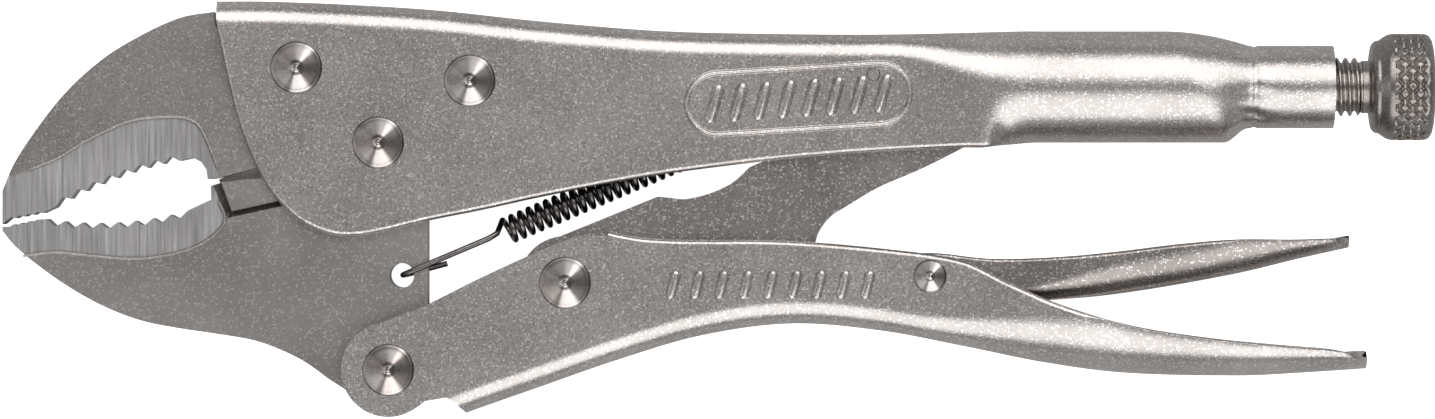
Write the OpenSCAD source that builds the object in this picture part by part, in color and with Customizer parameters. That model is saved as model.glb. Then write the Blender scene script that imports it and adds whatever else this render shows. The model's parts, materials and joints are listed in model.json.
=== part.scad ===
// Locking pliers with curved jaws, an over-centre toggle and a screw-adjusted opening.
// Drawn lying on one side: +X runs along the handles, the jaws are at the low-X end,
// +Y goes from the moving handle to the fixed handle, +Z is the thickness.

/* [Jaws] */
// Reach of the jaws in front of the jaw pivot
jaw_reach = 64; // [56:1:80]
// Thickness of the forged jaws
jaw_t = 9.8; // [8:0.2:12]
// Number of coarse gripping teeth on each jaw
tooth_count = 9; // [6:1:10]
// Depth of the coarse gripping teeth
tooth_depth = 1; // [0.5:0.1:1.3]
// Depth of the ground recess beside the teeth
grind_depth = 0.4; // [0.2:0.1:0.8]
// Bore in the moving jaw for the spring hook
hook_hole_d = 4.2; // [3:0.1:5]

/* [Handles] */
// Thickness of the handle sheet
sheet = 2.5; // [2:0.1:3]
// Distance from the jaw pivot to the end of the tube neck
tube_reach = 162.5; // [140:0.5:200]
// Outer diameter of the handle tube
tube_d = 19; // [17:0.5:23]
// Outer diameter of the crimped neck
neck_d = 14.1; // [13:0.1:15.5]
// Length of the crimped neck
neck_len = 14.4; // [10:0.2:20]
// Distance from the jaw pivot to the end of the moving handle
grip_reach = 168; // [145:1:205]
// Half width of the moving handle at the grip
grip_half_w = 9.4; // [8:0.2:11]
// Outer radius of the folds
fold_r = 4; // [3.2:0.1:4.5]

/* [Rivets] */
// Shank diameter of the four large rivets
rivet_d = 7; // [5:0.2:8]
// Head diameter of the large rivets
head_d = 8.4; // [8.2:0.1:10]
// Shank diameter of the release lever's rivet
lever_rivet_d = 3.6; // [3:0.1:4.5]
// Head diameter of the release lever's rivet
lever_head_d = 5.3; // [5:0.1:6]
// Height of a rivet head above the sheet
head_h = 1.2; // [0.6:0.1:2]
// Depth of the recess that a rivet head sits in
seat_depth = 0.4; // [0.2:0.1:0.8]

/* [Toggle link and release lever] */
// Thickness of the toggle link's sheet
link_sheet = 2; // [1.5:0.1:2.2]
// Thickness of the release lever's sheet
lever_sheet = 1.6; // [1.2:0.1:2]
// Distance from the lever's rivet to the end of its paddle
lever_reach = 71.5; // [55:0.5:85]

/* [Adjusting screw] */
// Thread diameter of the adjusting screw
screw_d = 10; // [8:0.5:10.5]
// Thread pitch
screw_pitch = 1.5; // [1:0.25:2]
// Diameter of the knurled knob
knob_d = 18.2; // [16:0.2:22]
// Length of the knurled knob with its collar
knob_len = 12; // [9:0.5:16]
// Gap between the neck and the knob's collar, where the thread shows
knob_gap = 4.9; // [3:0.1:8]

/* [Spring] */
// Wire diameter of the opening spring
wire_d = 1; // [0.8:0.1:1.2]
// Outer diameter of the coil
coil_d = 5; // [4:0.1:5.2]
// Coil pitch with the jaws closed
coil_pitch = 1.6; // [1.3:0.05:2.2]
// Number of turns
coil_turns = 26; // [16:1:28]

/* [Fits] */
// Clearance on each side of a part that moves between two cheeks
side_gap = 0.12; // [0.08:0.02:0.2]
// Radial clearance of a running fit
run_gap = 0.06; // [0.03:0.01:0.09]
// Clearance between the closed jaws at the tips
tip_gap = 0.4; // [0.2:0.1:0.8]
// Free travel between the toggle link's nose and the screw's tip
nose_gap = 3.6; // [3.3:0.1:5]

/* [Hidden] */
$fn = 96;
eps = 0.02;
deep = 60;

// Pivots, measured from the jaw pivot
handle_pivot = [1.7, -38.6];
link_pivot = [31.7, -23.8];
lever_pivot = [93.6, -22.7];
jaw_rivet_front = [-13.9, 12.7];
jaw_rivet_rear = [15.5, 10.5];
hook_hole = [3.9, -22.6];

// Widths across the thickness
gap_half = jaw_t / 2;
cheek_half = gap_half + sheet;
slim_half = gap_half - side_gap;
head_top = cheek_half + head_h;
seat_z = cheek_half - seat_depth;
seat_gap = 0.1;

// Fixed handle
screw_y = 9.5;
tube_r = tube_d / 2;
neck_r = neck_d / 2;
neck_x = tube_reach - neck_len;
swage_len = 3.5;
tube_lap = 0.3;
tube_inset = 0.1;
nose_x = tube_reach - 56.9;
link_nose = [nose_x, 8.1];
nose_r = 4;
mouth_x = nose_x - 3.4;
tube_x = nose_x + 6.5;
flare_x = nose_x - 20;
cheek_x = -27.5;
cheek_top = 24;

// Moving handle
ear_r = 8;
web_x = 15.1;
grip_flare_x = lever_pivot[0] + 5;

// Adjusting screw
screw_r = screw_d / 2;
screw_tip_x = nose_x + nose_r + nose_gap;
knob_x = tube_reach + knob_gap;
knob_end_x = knob_x + knob_len;
spigot_r = 3;
thread_h = 0.8;

// Opening spring
anchor = [84, 11.5];
anchor_d = 2.4;
coil_r = (coil_d - wire_d) / 2;
spring_dir = (anchor - hook_hole) / norm(anchor - hook_hole);
spring_side = [-spring_dir[1], spring_dir[0]];
coil_start = 19.3;
hook_face_gap = 0.15;
hook_pin_gap = 0.1;
hook_bend = 1.2;

// The row's origin: the middle of the bounding box, at its lowest face
tip_x = -jaw_reach;
handle_low_y = handle_pivot[1] - ear_r;
half_height = max(tube_r, grip_half_w, knob_d / 2, head_top);
origin_shift = [-(tip_x + knob_end_x) / 2, -(cheek_top + handle_low_y) / 2, half_height];

// Curves ---------------------------------------------------------------

function mix(a, b, u) = a + (b - a) * u;
function clamp01(u) = max(0, min(1, u));
function ease(u) = let(c = clamp01(u)) c * c * (3 - 2 * c);

// Points on an arc from angle a0 to a1
function arc(centre, r, a0, a1, n) =
    [for (i = [0:n]) centre + r * [cos(mix(a0, a1, i / n)), sin(mix(a0, a1, i / n))]];

// A smooth curve through key points, n steps between neighbours
function key(keys, i) = keys[max(0, min(len(keys) - 1, i))];
function smooth_point(keys, i, u) =
    let(a = key(keys, i - 1), b = key(keys, i), c = key(keys, i + 1), d = key(keys, i + 2))
    0.5 * (2 * b + (c - a) * u + (2 * a - 5 * b + 4 * c - d) * u * u
        + (3 * b - a - 3 * c + d) * u * u * u);
function smooth(keys, n) = concat(
    [for (i = [0:len(keys) - 2], j = [0:n - 1]) smooth_point(keys, i, j / n)],
    [keys[len(keys) - 1]]);

// Height at x of a smooth line through [x, y] keys whose x rises
function span_at(keys, x, i = 0) =
    i >= len(keys) - 2 || x < keys[i + 1][0] ? i : span_at(keys, x, i + 1);
function slope_at(keys, i) =
    let(a = key(keys, i - 1), b = key(keys, i + 1)) (b[1] - a[1]) / (b[0] - a[0]);
function line_y(keys, x) =
    let(i = span_at(keys, x), a = keys[i], b = keys[i + 1], h = b[0] - a[0],
        u = clamp01((x - a[0]) / h), m0 = slope_at(keys, i), m1 = slope_at(keys, i + 1))
    x <= keys[0][0] ? keys[0][1] :
    (2 * u * u * u - 3 * u * u + 1) * a[1] + (u * u * u - 2 * u * u + u) * h * m0
    + (3 * u * u - 2 * u * u * u) * b[1] + (u * u * u - u * u) * h * m1;

// Keys given as a fraction of the way from x0 to x1, turned into lengths
function along(x0, x1, keys) = [for (k = keys) [mix(x0, x1, k[0]), k[1]]];

// Folded channels ------------------------------------------------------

leg_steps = 4;
fold_steps = 8;

// One side of a channel's section, from the free edge of the leg up to the fold.
// up is 1 when the fold is above the legs. close runs from 0, an open channel, to 1, a tube.
function half_section(w, r, fold_y, lip_y, up, close) = concat(
    [for (j = [0:leg_steps]) let(u = j / leg_steps, a = mix(-86, 0, u), yc = fold_y - up * r)
        mix([mix(lip_y, yc, u), w], [yc + up * r * sin(a), r * cos(a)], close)],
    [for (k = [1:fold_steps]) let(a = 90 * k / fold_steps)
        [fold_y - up * r * (1 - sin(a)), w - r + r * cos(a)]]);
function mirrored(side) = [for (i = [len(side) - 1:-1:0]) [side[i][0], -side[i][1]]];
function other_side(side) = [for (p = side) [p[0], -p[1]]];
function reversed(points) = [for (i = [len(points) - 1:-1:0]) points[i]];
function section_loop(w, r, fold_y, lip_y, up, close, wall) =
    let(outer = half_section(w, r, fold_y, lip_y, up, close),
        inner = half_section(w - wall, max(0.6, r - wall), fold_y - up * wall, lip_y, up, close))
    concat(outer, mirrored(outer), other_side(inner), reversed(inner));

// Skin through rings of points, one ring for each station, closed at both ends
module skin(rings) {
    n = len(rings[0]);
    m = len(rings);
    half = n / 2;
    sides = [for (i = [0:m - 2], j = [0:n - 1]) let(k = (j + 1) % n)
        each [[i * n + j, (i + 1) * n + k, (i + 1) * n + j], [i * n + j, i * n + k, (i + 1) * n + k]]];
    caps = [for (base = [0, (m - 1) * n], j = [0:half - 2])
        let(a = base + j, b = base + j + 1, c = base + n - 2 - j, d = base + n - 1 - j)
        each (base == 0 ? [[a, c, b], [a, d, c]] : [[a, b, c], [a, c, d]])];
    polyhedron([for (r = rings) each r], concat(sides, caps));
}

// A channel through stations of [x, half width, fold radius, fold_y, lip_y, close, wall]
function channel_ring(s, up) =
    [for (p = section_loop(s[1], s[2], s[3], s[4], up, s[5], s[6])) [s[0], p[0], p[1]]];
module channel(stations, up) {
    last = len(stations) - 1;
    skin([for (i = [0:last]) channel_ring(stations[up > 0 ? i : last - i], up)]);
}

function steps(a, b, n) = [for (i = [0:n]) mix(a, b, i / n)];
module plate(points, z0, z1) translate([0, 0, z0]) linear_extrude(z1 - z0) polygon(points);
module post(at, r, z0, z1) translate([at[0], at[1], z0]) cylinder(r = r, h = z1 - z0);
module through(at, r) post(at, r, -deep, deep);
module place() translate(origin_shift) children();

// Fixed handle ---------------------------------------------------------

top_keys = concat(along(cheek_x, flare_x, [[0, cheek_top], [0.07, cheek_top], [0.19, 23.5], [0.33, 22.5],
    [0.48, 20.7], [0.65, 19.1], [0.78, 18.6], [1, 18.4]]),
    [[tube_x - 3, screw_y + tube_r], [tube_x, screw_y + tube_r]]);
front_keys = [[cheek_x, 20.6], [-25.9, 12.2], [-23.1, 1.6], [-19.2, -7], [-13.5, -13.2], [-5.8, -15.9],
    [0, -15.5]];
belly_keys = along(0, mouth_x, [[0.08, -13.5], [0.17, -11.5], [0.28, -9.2], [0.43, -6.2], [0.55, -4.5],
    [0.68, -2.9], [0.84, -1.6], [1, -0.9]]);

function handle_close(x) = ease((x - mouth_x - 0.4) / (tube_x - mouth_x - 0.4));
function flared(x) = ease((x - flare_x) / (tube_x - 3 - flare_x));
function handle_half(x) = mix(cheek_half, tube_r - tube_inset, flared(x));
function handle_fold(x) = mix(fold_r, tube_r - 2 * tube_inset, flared(x));
function handle_station(x) = [x, handle_half(x), handle_fold(x),
    line_y(top_keys, x) - tube_inset * flared(x), x < mouth_x ? -20 : -1, handle_close(x),
    sheet + tube_lap * handle_close(x)];

module handle_outline() plate(concat(
    [[cheek_x, 40]], smooth(concat(front_keys, belly_keys), 5),
    [[mouth_x, -22], [tube_x + 5, -22], [tube_x + 5, 40]]),
    -deep, deep);

module rivet_seats(at, shank_r, head_r, z) {
    through(at, shank_r);
    post(at, head_r + seat_gap, seat_z, deep);
    post(at, head_r + seat_gap, -deep, -seat_z);
}

module tube_end() translate([0, screw_y, 0]) rotate([0, 90, 0]) rotate_extrude()
    polygon([[tube_r - sheet, tube_x - 0.6], [tube_r, tube_x - 0.6], [tube_r, neck_x - swage_len],
        [tube_r - 0.6, neck_x - 2.4], [neck_r + 0.4, neck_x - 0.4], [neck_r, neck_x + 0.4],
        [neck_r, tube_reach - 1], [neck_r - 1, tube_reach], [screw_r + run_gap, tube_reach],
        [screw_r + run_gap, neck_x - 1], [tube_r - sheet, neck_x - swage_len - 1]]);

module fixed_handle() color("silver") place() difference() {
    union() {
        intersection() {
            channel([for (x = concat(steps(cheek_x, flare_x, 16), steps(flare_x + 2, mouth_x - eps, 7),
                steps(mouth_x, tube_x, 8))) handle_station(x)], 1);
            handle_outline();
        }
        tube_end();
    }
    for (at = [jaw_rivet_front, jaw_rivet_rear, [0, 0]]) rivet_seats(at, rivet_d / 2, head_d / 2);
    through(anchor, anchor_d / 2);
}

// Jaws -----------------------------------------------------------------

jaw_root = -28;
function reach_x(u) = mix(jaw_root, tip_x, u);
function reach_keys(keys) = [for (k = keys) [reach_x(k[0]), k[1]]];

// A row of teeth along a shallow arc, from the throat to the front
function grip(p0, p1, sag, u) = mix(p0, p1, u) + [0, 4 * sag * u * (1 - u)];
function teeth(p0, p1, sag, side) = [for (i = [0:tooth_count - 1]) let(u = i / (tooth_count - 1))
    each i == tooth_count - 1 ? [grip(p0, p1, sag, u)] :
    [grip(p0, p1, sag, u), grip(p0, p1, sag, u + 0.55 / (tooth_count - 1)) + [0, side * tooth_depth]]];
function fine_teeth(x0, x1, y0, y1, side) = [for (i = [0:3]) let(u = i / 3, w = 0.5 / 3)
    each [[mix(x0, x1, u), mix(y0, y1, u)], [mix(x0, x1, u + w), mix(y0, y1, u + w) + side * 0.35]]];

upper_back = smooth(reach_keys([[1, -8.2], [0.92, -2.1], [0.73, 7.3], [0.54, 13.8], [0.35, 18.1],
    [0.16, 21.2], [0, 22.2]]), 5);
upper_throat = [[-31.6, -2.6], [-30.2, -3.3], [-29.3, -4.6], [-29.1, -6.2]];
upper_grip = teeth([-34, -3.1], [reach_x(0.75), -11], 1, 1);
upper_tip = concat(fine_teeth(reach_x(0.81), reach_x(0.94), -12, -12.9, 1), [[tip_x, -14.3 + tip_gap]]);
hub_r = 8.7;
hub_gap = 0.4;
rear_boss_r = 6.5;
jaw_shoulder = cheek_top - fold_r - 0.4;

module fixed_jaw_outline() polygon(concat(
    upper_back, [[cheek_x - 0.2, jaw_shoulder], [-18, jaw_shoulder - 0.4], [0, 18.3]],
    arc(jaw_rivet_rear, rear_boss_r, 75, -95, 12),
    arc([0, 0], hub_r + hub_gap, 22, 205, 20), [[-20.6, -4.3], [-26.8, -5.9], [-28.6, -6.2]],
    reversed(upper_throat), upper_grip, upper_tip));

upper_grind = smooth(reach_keys([[0.93, -5.3], [0.75, -2.8], [0.62, 0], [0.42, 3.4], [0.26, 4.3], [0.12, 4],
    [0.05, 1.5], [-0.03, -5.6]]), 4);
module upper_grind_area() polygon(concat(
    [[tip_x - 5, -7]], upper_grind, [[-28.2, -20], [tip_x - 5, -20]]));

module fixed_jaw() color("darkgray") place() difference() {
    translate([0, 0, -gap_half]) linear_extrude(jaw_t) fixed_jaw_outline();
    for (side = [-1, 1]) scale([1, 1, side]) translate([0, 0, gap_half - grind_depth])
        linear_extrude(deep) upper_grind_area();
    through(jaw_rivet_front, rivet_d / 2);
    through(jaw_rivet_rear, rivet_d / 2);
}

lower_back = smooth(concat(reach_keys([[1, -15], [0.92, -18.3], [0.73, -23.5], [0.54, -27.5], [0.35, -30.2],
    [0.16, -31.6]]), [[-27, -32.6], [-20.2, -33.9], [-13.4, -36.8], [-8.5, -40.2]]), 5);
lower_throat = [[-28.5, -9.7], [-28.6, -7.4]];
lower_grip = teeth([-32.4, -11.5], [reach_x(0.79), -13], -1.3, -1);
lower_tip = concat(fine_teeth(reach_x(0.84), reach_x(0.95), -13.1, -13.9, -1), [[tip_x, -14.3]]);
jaw_rear_x = 8.3;
jaw_ear_r = 7.4;

module moving_jaw_outline() polygon(concat(
    lower_back, arc(handle_pivot, jaw_ear_r, 215, 333, 14), [[jaw_rear_x, handle_pivot[1] + 8]],
    arc([0, 0], hub_r, -17.5, 215, 24), [[-20.2, -6.1], [-26.5, -6.7]],
    reversed(lower_throat), lower_grip, lower_tip));

lower_grind = smooth(reach_keys([[0.92, -19.4], [0.75, -18.7], [0.6, -19.2], [0.38, -19.8], [0.2, -19],
    [0.05, -17], [-0.05, -13.5], [-0.02, -10]]), 4);
module lower_grind_area() polygon(concat(
    [[tip_x - 5, -19.4]], lower_grind, [[-27.2, 0], [tip_x - 5, 0]]));

module moving_jaw() color("darkgray") place() difference() {
    translate([0, 0, -slim_half]) linear_extrude(2 * slim_half) moving_jaw_outline();
    for (side = [-1, 1]) scale([1, 1, side]) translate([0, 0, slim_half - grind_depth])
        linear_extrude(deep) lower_grind_area();
    through([0, 0], rivet_d / 2 + run_gap);
    through(handle_pivot, rivet_d / 2 + run_gap);
    through(hook_hole, hook_hole_d / 2);
}

// Moving handle --------------------------------------------------------

grip_low_keys = concat([[-8, -54.5], [web_x, -45.9]], along(web_x, grip_reach, [[0.08, -41.6], [0.17, -36.8],
    [0.26, -32.8], [0.36, -30.8], [0.46, -32], [0.55, -34.6], [0.64, -37.4], [0.73, -39.2], [0.86, -39.7],
    [0.93, -39.2], [1, -38.5]]));
grip_lip_keys = along(web_x, grip_reach, [[-0.15, -10], [0.12, -14], [0.2, -16.3], [0.35, -16.7],
    [0.47, -18.2], [0.55, -20.1], [0.6, -23.7], [0.66, -27.6], [0.74, -31.2], [0.83, -33.4], [0.91, -34.6],
    [0.97, -35.4], [1, -36.6]]);
function grip_half(x) = mix(cheek_half, grip_half_w, ease((x - grip_flare_x) / 26));
function grip_depth(x) = line_y(grip_lip_keys, x) - line_y(grip_low_keys, x);
function grip_station(x) = [x, grip_half(x), min(fold_r, grip_depth(x) - 0.2),
    line_y(grip_low_keys, x), line_y(grip_lip_keys, x), 0, sheet];

module grip_outline() plate(concat(
    arc(handle_pivot, ear_r, 105, 318, 24), [[11.6, -43.3], [13.6, -44.8], [web_x, -46.2], [web_x + 1, -70],
    [grip_reach + 5, -70], [grip_reach + 5, 0], [39, 0]],
    reversed(smooth([[4, -29.2], [8.3, -27.5], [16.3, -23.5], [24, -19.9], [30.8, -17], [34.5, -15.9],
        [39, -15.9]], 4))), -deep, deep);

module moving_handle() color("silver") place() difference() {
    intersection() {
        channel([for (x = concat(steps(-8, grip_flare_x, 17), steps(grip_flare_x + 4, grip_reach, 17)))
            grip_station(x)], -1);
        grip_outline();
    }
    for (at = [handle_pivot, link_pivot]) rivet_seats(at, rivet_d / 2, head_d / 2);
    rivet_seats(lever_pivot, lever_rivet_d / 2, lever_head_d / 2);
}

// Toggle link ----------------------------------------------------------

link_ear_r = 7.9;
nose_half = 3.4;

module link_outline() polygon(concat(
    arc(link_pivot, link_ear_r, 97, 285, 20),
    [[48, -28], [66, -23], [73, -19.5]],
    smooth([[74.2, -17], [74.9, -15], [76.8, -12.6], [79.6, -10.8], [85, -7.6],
        [mix(85, nose_x, 0.35), -4.5], [mix(85, nose_x, 0.7), -0.9]], 4),
    arc(link_nose, nose_r, -45, 120, 12), [[mix(63, nose_x, 0.55), 5.8]],
    reversed(smooth([[47.4, -9.2], [49.5, -9.4], [52.2, -9.6], [56.1, -8.7], [60, -6.9], [63, -4.2]], 4))));

module link_hollow() polygon(concat(
    arc(link_pivot, link_ear_r - link_sheet, 160, 285, 12), [[47.5, -25.9], [65, -21.1], [71, -18.1]],
    smooth([[72.2, -16.5], [73, -14.2], [75.2, -11.2], [78.4, -9], [84, -5.8],
        [mix(85, nose_x, 0.35) - 1.1, -2.6], [mix(85, nose_x, 0.6), 0.8]], 4),
    [[mix(63, nose_x, 0.75), 12], [40, 12]], [[link_pivot[0] - 12, 0]]));

link_gap_half = slim_half - link_sheet;

module toggle_link() color("gainsboro") place() difference() {
    translate([0, 0, -slim_half]) linear_extrude(2 * slim_half) link_outline();
    translate([0, 0, -link_gap_half]) linear_extrude(2 * link_gap_half) link_hollow();
    for (side = [-1, 1]) scale([1, 1, side]) translate([mix(63, nose_x, 0.8), -20, nose_half])
        cube([40, 60, deep]);
    through(link_pivot, rivet_d / 2 + run_gap);
}

// Release lever --------------------------------------------------------

lever_end = lever_pivot[0] + lever_reach;
lever_nose_x = 80;
lever_low_keys = concat([[lever_nose_x, -23.4], [86, -25.4]], along(lever_pivot[0], lever_end, [[0, -26.9],
    [0.15, -27.6], [0.29, -26.8], [0.41, -26.1], [0.55, -24.7], [0.74, -22.2], [0.88, -19.8], [1, -17.9]]));
lever_lip_keys = concat([[lever_nose_x, -20.8], [86, -19.8]], along(lever_pivot[0], lever_end, [[0, -18.8],
    [0.15, -19.8], [0.31, -19.5], [0.45, -18.6], [0.6, -17.3], [0.74, -16.5], [0.88, -16.5], [1, -16.2]]));
lever_half_w = 6.3;
function lever_half(x) = mix(slim_half - 0.1, lever_half_w, ease((x - lever_pivot[0] - 10) / 22));
function lever_station(x) = let(low = line_y(lever_low_keys, x), lip = line_y(lever_lip_keys, x))
    [x, lever_half(x), min(2.4, lip - low - 0.1), low, lip, 0, lever_sheet];

module release_lever() color("silver") place() difference() {
    channel([for (x = concat(steps(lever_nose_x, lever_pivot[0], 5), steps(lever_pivot[0] + 4, lever_end, 17)))
        lever_station(x)], -1);
    through(lever_pivot, lever_rivet_d / 2 + run_gap);
}

// Rivets ---------------------------------------------------------------

rim_h = 0.35;
module rivet(at, shank_r, head_r) {
    dome = head_r * 0.62;
    profile = concat([[0, seat_z], [head_r, seat_z], [head_r, cheek_half + rim_h]],
        [for (i = [1:5]) let(a = 18 * i)
            [mix(dome, head_r, cos(a)), cheek_half + rim_h + (head_h - rim_h) * sin(a)]],
        [[0.8, head_top], [0, head_top - 0.3]]);
    post(at, shank_r, -seat_z - eps, seat_z + eps);
    for (side = [0, 180]) translate([at[0], at[1], 0]) rotate([side, 0, 0])
        rotate_extrude() polygon(profile);
}

module fixed_jaw_rivet_front() color("dimgray") place() rivet(jaw_rivet_front, rivet_d / 2, head_d / 2);
module fixed_jaw_rivet_rear() color("dimgray") place() rivet(jaw_rivet_rear, rivet_d / 2, head_d / 2);
module jaw_pivot_rivet() color("dimgray") place() rivet([0, 0], rivet_d / 2, head_d / 2);
module handle_pivot_rivet() color("dimgray") place() rivet(handle_pivot, rivet_d / 2, head_d / 2);
module link_rivet() color("dimgray") place() rivet(link_pivot, rivet_d / 2, head_d / 2);
module lever_rivet() color("dimgray") place() rivet(lever_pivot, lever_rivet_d / 2, lever_head_d / 2);

// Opening spring -------------------------------------------------------

module spring_anchor_pin() color("dimgray") place() post(anchor, anchor_d / 2, -cheek_half, cheek_half);

function on_spring(s, side, z) = let(p = hook_hole + s * spring_dir + side * spring_side) [p[0], p[1], z];
turn_steps = 10;
spring_len = norm(anchor - hook_hole);
coil_end = coil_start + coil_turns * coil_pitch;
wire_z = slim_half + wire_d / 2 + hook_face_gap;
hook_r = (anchor_d + wire_d) / 2 + hook_pin_gap;
spring_path = concat(
    [on_spring(7.6, -1.1, -wire_z), on_spring(3.4, -0.5, -wire_z), on_spring(1, -0.2, -wire_z + 0.1),
        on_spring(0.2, 0, hook_bend - wire_z), on_spring(0.2, 0, wire_z - hook_bend),
        on_spring(1, 0, wire_z - 0.1), on_spring(2.4, 0, wire_z), on_spring(5.4, 0, wire_z)],
    [on_spring(coil_start - 2.5, coil_r * 0.3, 0.6)],
    [for (i = [0:coil_turns * turn_steps]) let(a = 360 * i / turn_steps + 90)
        on_spring(coil_start + coil_pitch * i / turn_steps, coil_r * sin(a), coil_r * cos(a))],
    [on_spring(coil_end + 1.5, coil_r * 0.4, 0)],
    [for (i = [0:10]) let(a = 200 - 28 * i)
        on_spring(spring_len + hook_r * cos(a), hook_r * sin(a), 0.1 * i - 0.5)]);

// A round wire swept along points, closed at both ends
wire_sides = 8;
function unit(v) = v / norm(v);
function wire_tangent(path, i) = unit(path[min(i + 1, len(path) - 1)] - path[max(i - 1, 0)]);
function wire_normals(path, i = 0, found = []) = i == len(path) ? found :
    let(t = wire_tangent(path, i), last = i == 0 ? cross(t, [0.1, 0.2, 0.97]) : found[i - 1])
    wire_normals(path, i + 1, concat(found, [unit(last - (last * t) * t)]));
module wire(path, r) {
    normals = wire_normals(path);
    n = wire_sides;
    m = len(path);
    rings = [for (i = [0:m - 1]) let(t = wire_tangent(path, i), u = normals[i], v = cross(t, u))
        each [for (j = [0:n - 1]) let(a = 360 * j / n) path[i] + r * (cos(a) * u + sin(a) * v)]];
    sides = [for (i = [0:m - 2], j = [0:n - 1]) let(k = (j + 1) % n)
        [i * n + j, (i + 1) * n + j, (i + 1) * n + k, i * n + k]];
    polyhedron(rings, concat([[for (j = [0:n - 1]) j]], sides, [[for (j = [0:n - 1]) m * n - 1 - j]]));
}
module tension_spring() color("darkslategray") place() wire(spring_path, wire_d / 2);

// Adjusting screw ------------------------------------------------------

thread_end = knob_x - 1.6;
thread_count = floor((thread_end - screw_tip_x - 2) / screw_pitch);
module adjusting_screw() color("gray") place() translate([0, screw_y, 0]) rotate([0, 90, 0]) rotate_extrude()
    polygon(concat([[0, screw_tip_x], [screw_r - 2, screw_tip_x], [screw_r - thread_h, screw_tip_x + 2]],
        [for (i = [0:thread_count - 1]) let(x = thread_end - (thread_count - i) * screw_pitch)
            each [[screw_r - thread_h, x + 0.12], [screw_r, x + 0.42 * screw_pitch],
                [screw_r, x + 0.58 * screw_pitch], [screw_r - thread_h, x + screw_pitch - 0.12]]],
        [[screw_r - thread_h, knob_x - 0.1], [spigot_r, knob_x - 0.1], [spigot_r, knob_end_x - 1.2],
            [0, knob_end_x - 1.2]]));

knurl_count = 36;
knurl_r = 0.7;
knurl_out = 0.35;
module adjusting_knob() color("gray") place() translate([0, screw_y, 0]) rotate([0, 90, 0]) difference() {
    rotate_extrude() polygon([[0, knob_end_x], [0, knob_end_x - 1.1], [spigot_r + run_gap, knob_end_x - 1.1],
        [spigot_r + run_gap, knob_x], [screw_r - 0.2, knob_x], [screw_r + 0.6, knob_x + 0.5],
        [screw_r + 0.6, knob_x + 1.4], [knob_d / 2 - 0.6, knob_x + 3], [knob_d / 2, knob_x + 3.8],
        [knob_d / 2, knob_end_x - 3], [knob_d / 2 - 0.7, knob_end_x - 1.3], [knob_d / 2 - 2, knob_end_x]]);
    for (i = [0:knurl_count - 1]) rotate([0, 0, 360 * i / knurl_count])
        translate([knob_d / 2 + knurl_out, 0, knob_x + 2]) cylinder(r = knurl_r, h = knob_len - 3, $fn = 4);
}

fixed_handle();
fixed_jaw();
fixed_jaw_rivet_front();
fixed_jaw_rivet_rear();
jaw_pivot_rivet();
spring_anchor_pin();
tension_spring();
moving_jaw();
moving_handle();
handle_pivot_rivet();
link_rivet();
lever_rivet();
toggle_link();
release_lever();
adjusting_screw();
adjusting_knob();
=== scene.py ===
"""Looks for a pair of curved-jaw locking pliers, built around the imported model.

Every piece is drawn on a bench in millimetres from the jaw pivot, with Z measured from the
middle of the thickness, and is then set into the frame, which is in metres.
"""
import json
import logging
import math
from collections.abc import Callable, Sequence
from dataclasses import dataclass, field
from enum import Enum

import bpy
from mathutils import Matrix, Vector


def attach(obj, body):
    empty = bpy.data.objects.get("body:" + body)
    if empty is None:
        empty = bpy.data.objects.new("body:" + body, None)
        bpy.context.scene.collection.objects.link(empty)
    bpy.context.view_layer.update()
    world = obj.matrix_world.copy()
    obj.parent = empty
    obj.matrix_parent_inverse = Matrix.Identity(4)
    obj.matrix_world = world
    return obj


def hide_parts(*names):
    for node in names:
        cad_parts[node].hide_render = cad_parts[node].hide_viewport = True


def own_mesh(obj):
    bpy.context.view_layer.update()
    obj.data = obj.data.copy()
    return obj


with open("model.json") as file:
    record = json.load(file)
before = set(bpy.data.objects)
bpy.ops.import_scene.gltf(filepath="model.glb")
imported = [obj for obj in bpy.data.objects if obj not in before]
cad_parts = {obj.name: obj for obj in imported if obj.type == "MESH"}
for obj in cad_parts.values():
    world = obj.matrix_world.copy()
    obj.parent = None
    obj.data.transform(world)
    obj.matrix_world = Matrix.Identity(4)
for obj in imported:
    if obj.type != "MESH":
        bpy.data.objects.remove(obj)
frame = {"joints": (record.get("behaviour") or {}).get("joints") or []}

log = logging.getLogger("locking_pliers")
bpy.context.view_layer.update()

MM = 0.001
Point = tuple[float, float]
JOINTS = {joint["name"]: joint for joint in frame["joints"]}
PIVOT = Vector(JOINTS["jaw_open"]["pos_m"])


def on_bench(place: Sequence[float]) -> Vector:
    """A place in the frame, in metres, as millimetres from the jaw pivot."""
    return (Vector(place) - PIVOT) / MM


def joint_at(name: str) -> Vector:
    """The place of a hinge, in millimetres from the jaw pivot."""
    return on_bench(JOINTS[name]["pos_m"])


class Body(Enum):
    """The bodies that pieces ride on."""

    FRAME = "fixed_handle_frame"
    JAW = "jaw_body"
    HANDLE = "handle_body"
    LINK = "link_body"
    LEVER = "lever_body"
    SCREW = "screw_body"
    KNOB = "knob_body"


class Fold(Enum):
    """Which way a channel's fold lies from its legs."""

    ABOVE = 1
    BELOW = -1


# Places and sizes that several pieces share, in bench millimetres.
FRONT_RIVET: Point = (-13.9, 12.7)
REAR_RIVET: Point = (15.5, 10.5)
JAW_PIVOT: Point = (0.0, 0.0)
HANDLE_PIVOT: Point = (1.7, -38.6)
LINK_PIVOT: Point = (31.7, -23.8)
LEVER_PIVOT: Point = (93.6, -22.7)
HOOK_HOLE: Point = (3.9, -22.6)
ANCHOR: Point = (84.0, 11.5)
ANCHOR_R = 1.2
SCREW_Y = 9.5
SHEET = 2.5
# Half the width over the handles' cheeks, and of what runs free between them.
CHEEK_HALF = 7.4
SLIM_HALF = 4.78
# Radius of a rivet's shank, of a bore that turns on it, and of the seat for its head.
RIVET_R = 3.5
RUNNING_BORE_R = 3.56
SEAT_R = 4.42
# Height of the seat's floor above the middle plane.
SEAT_Z = 7.0
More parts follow.
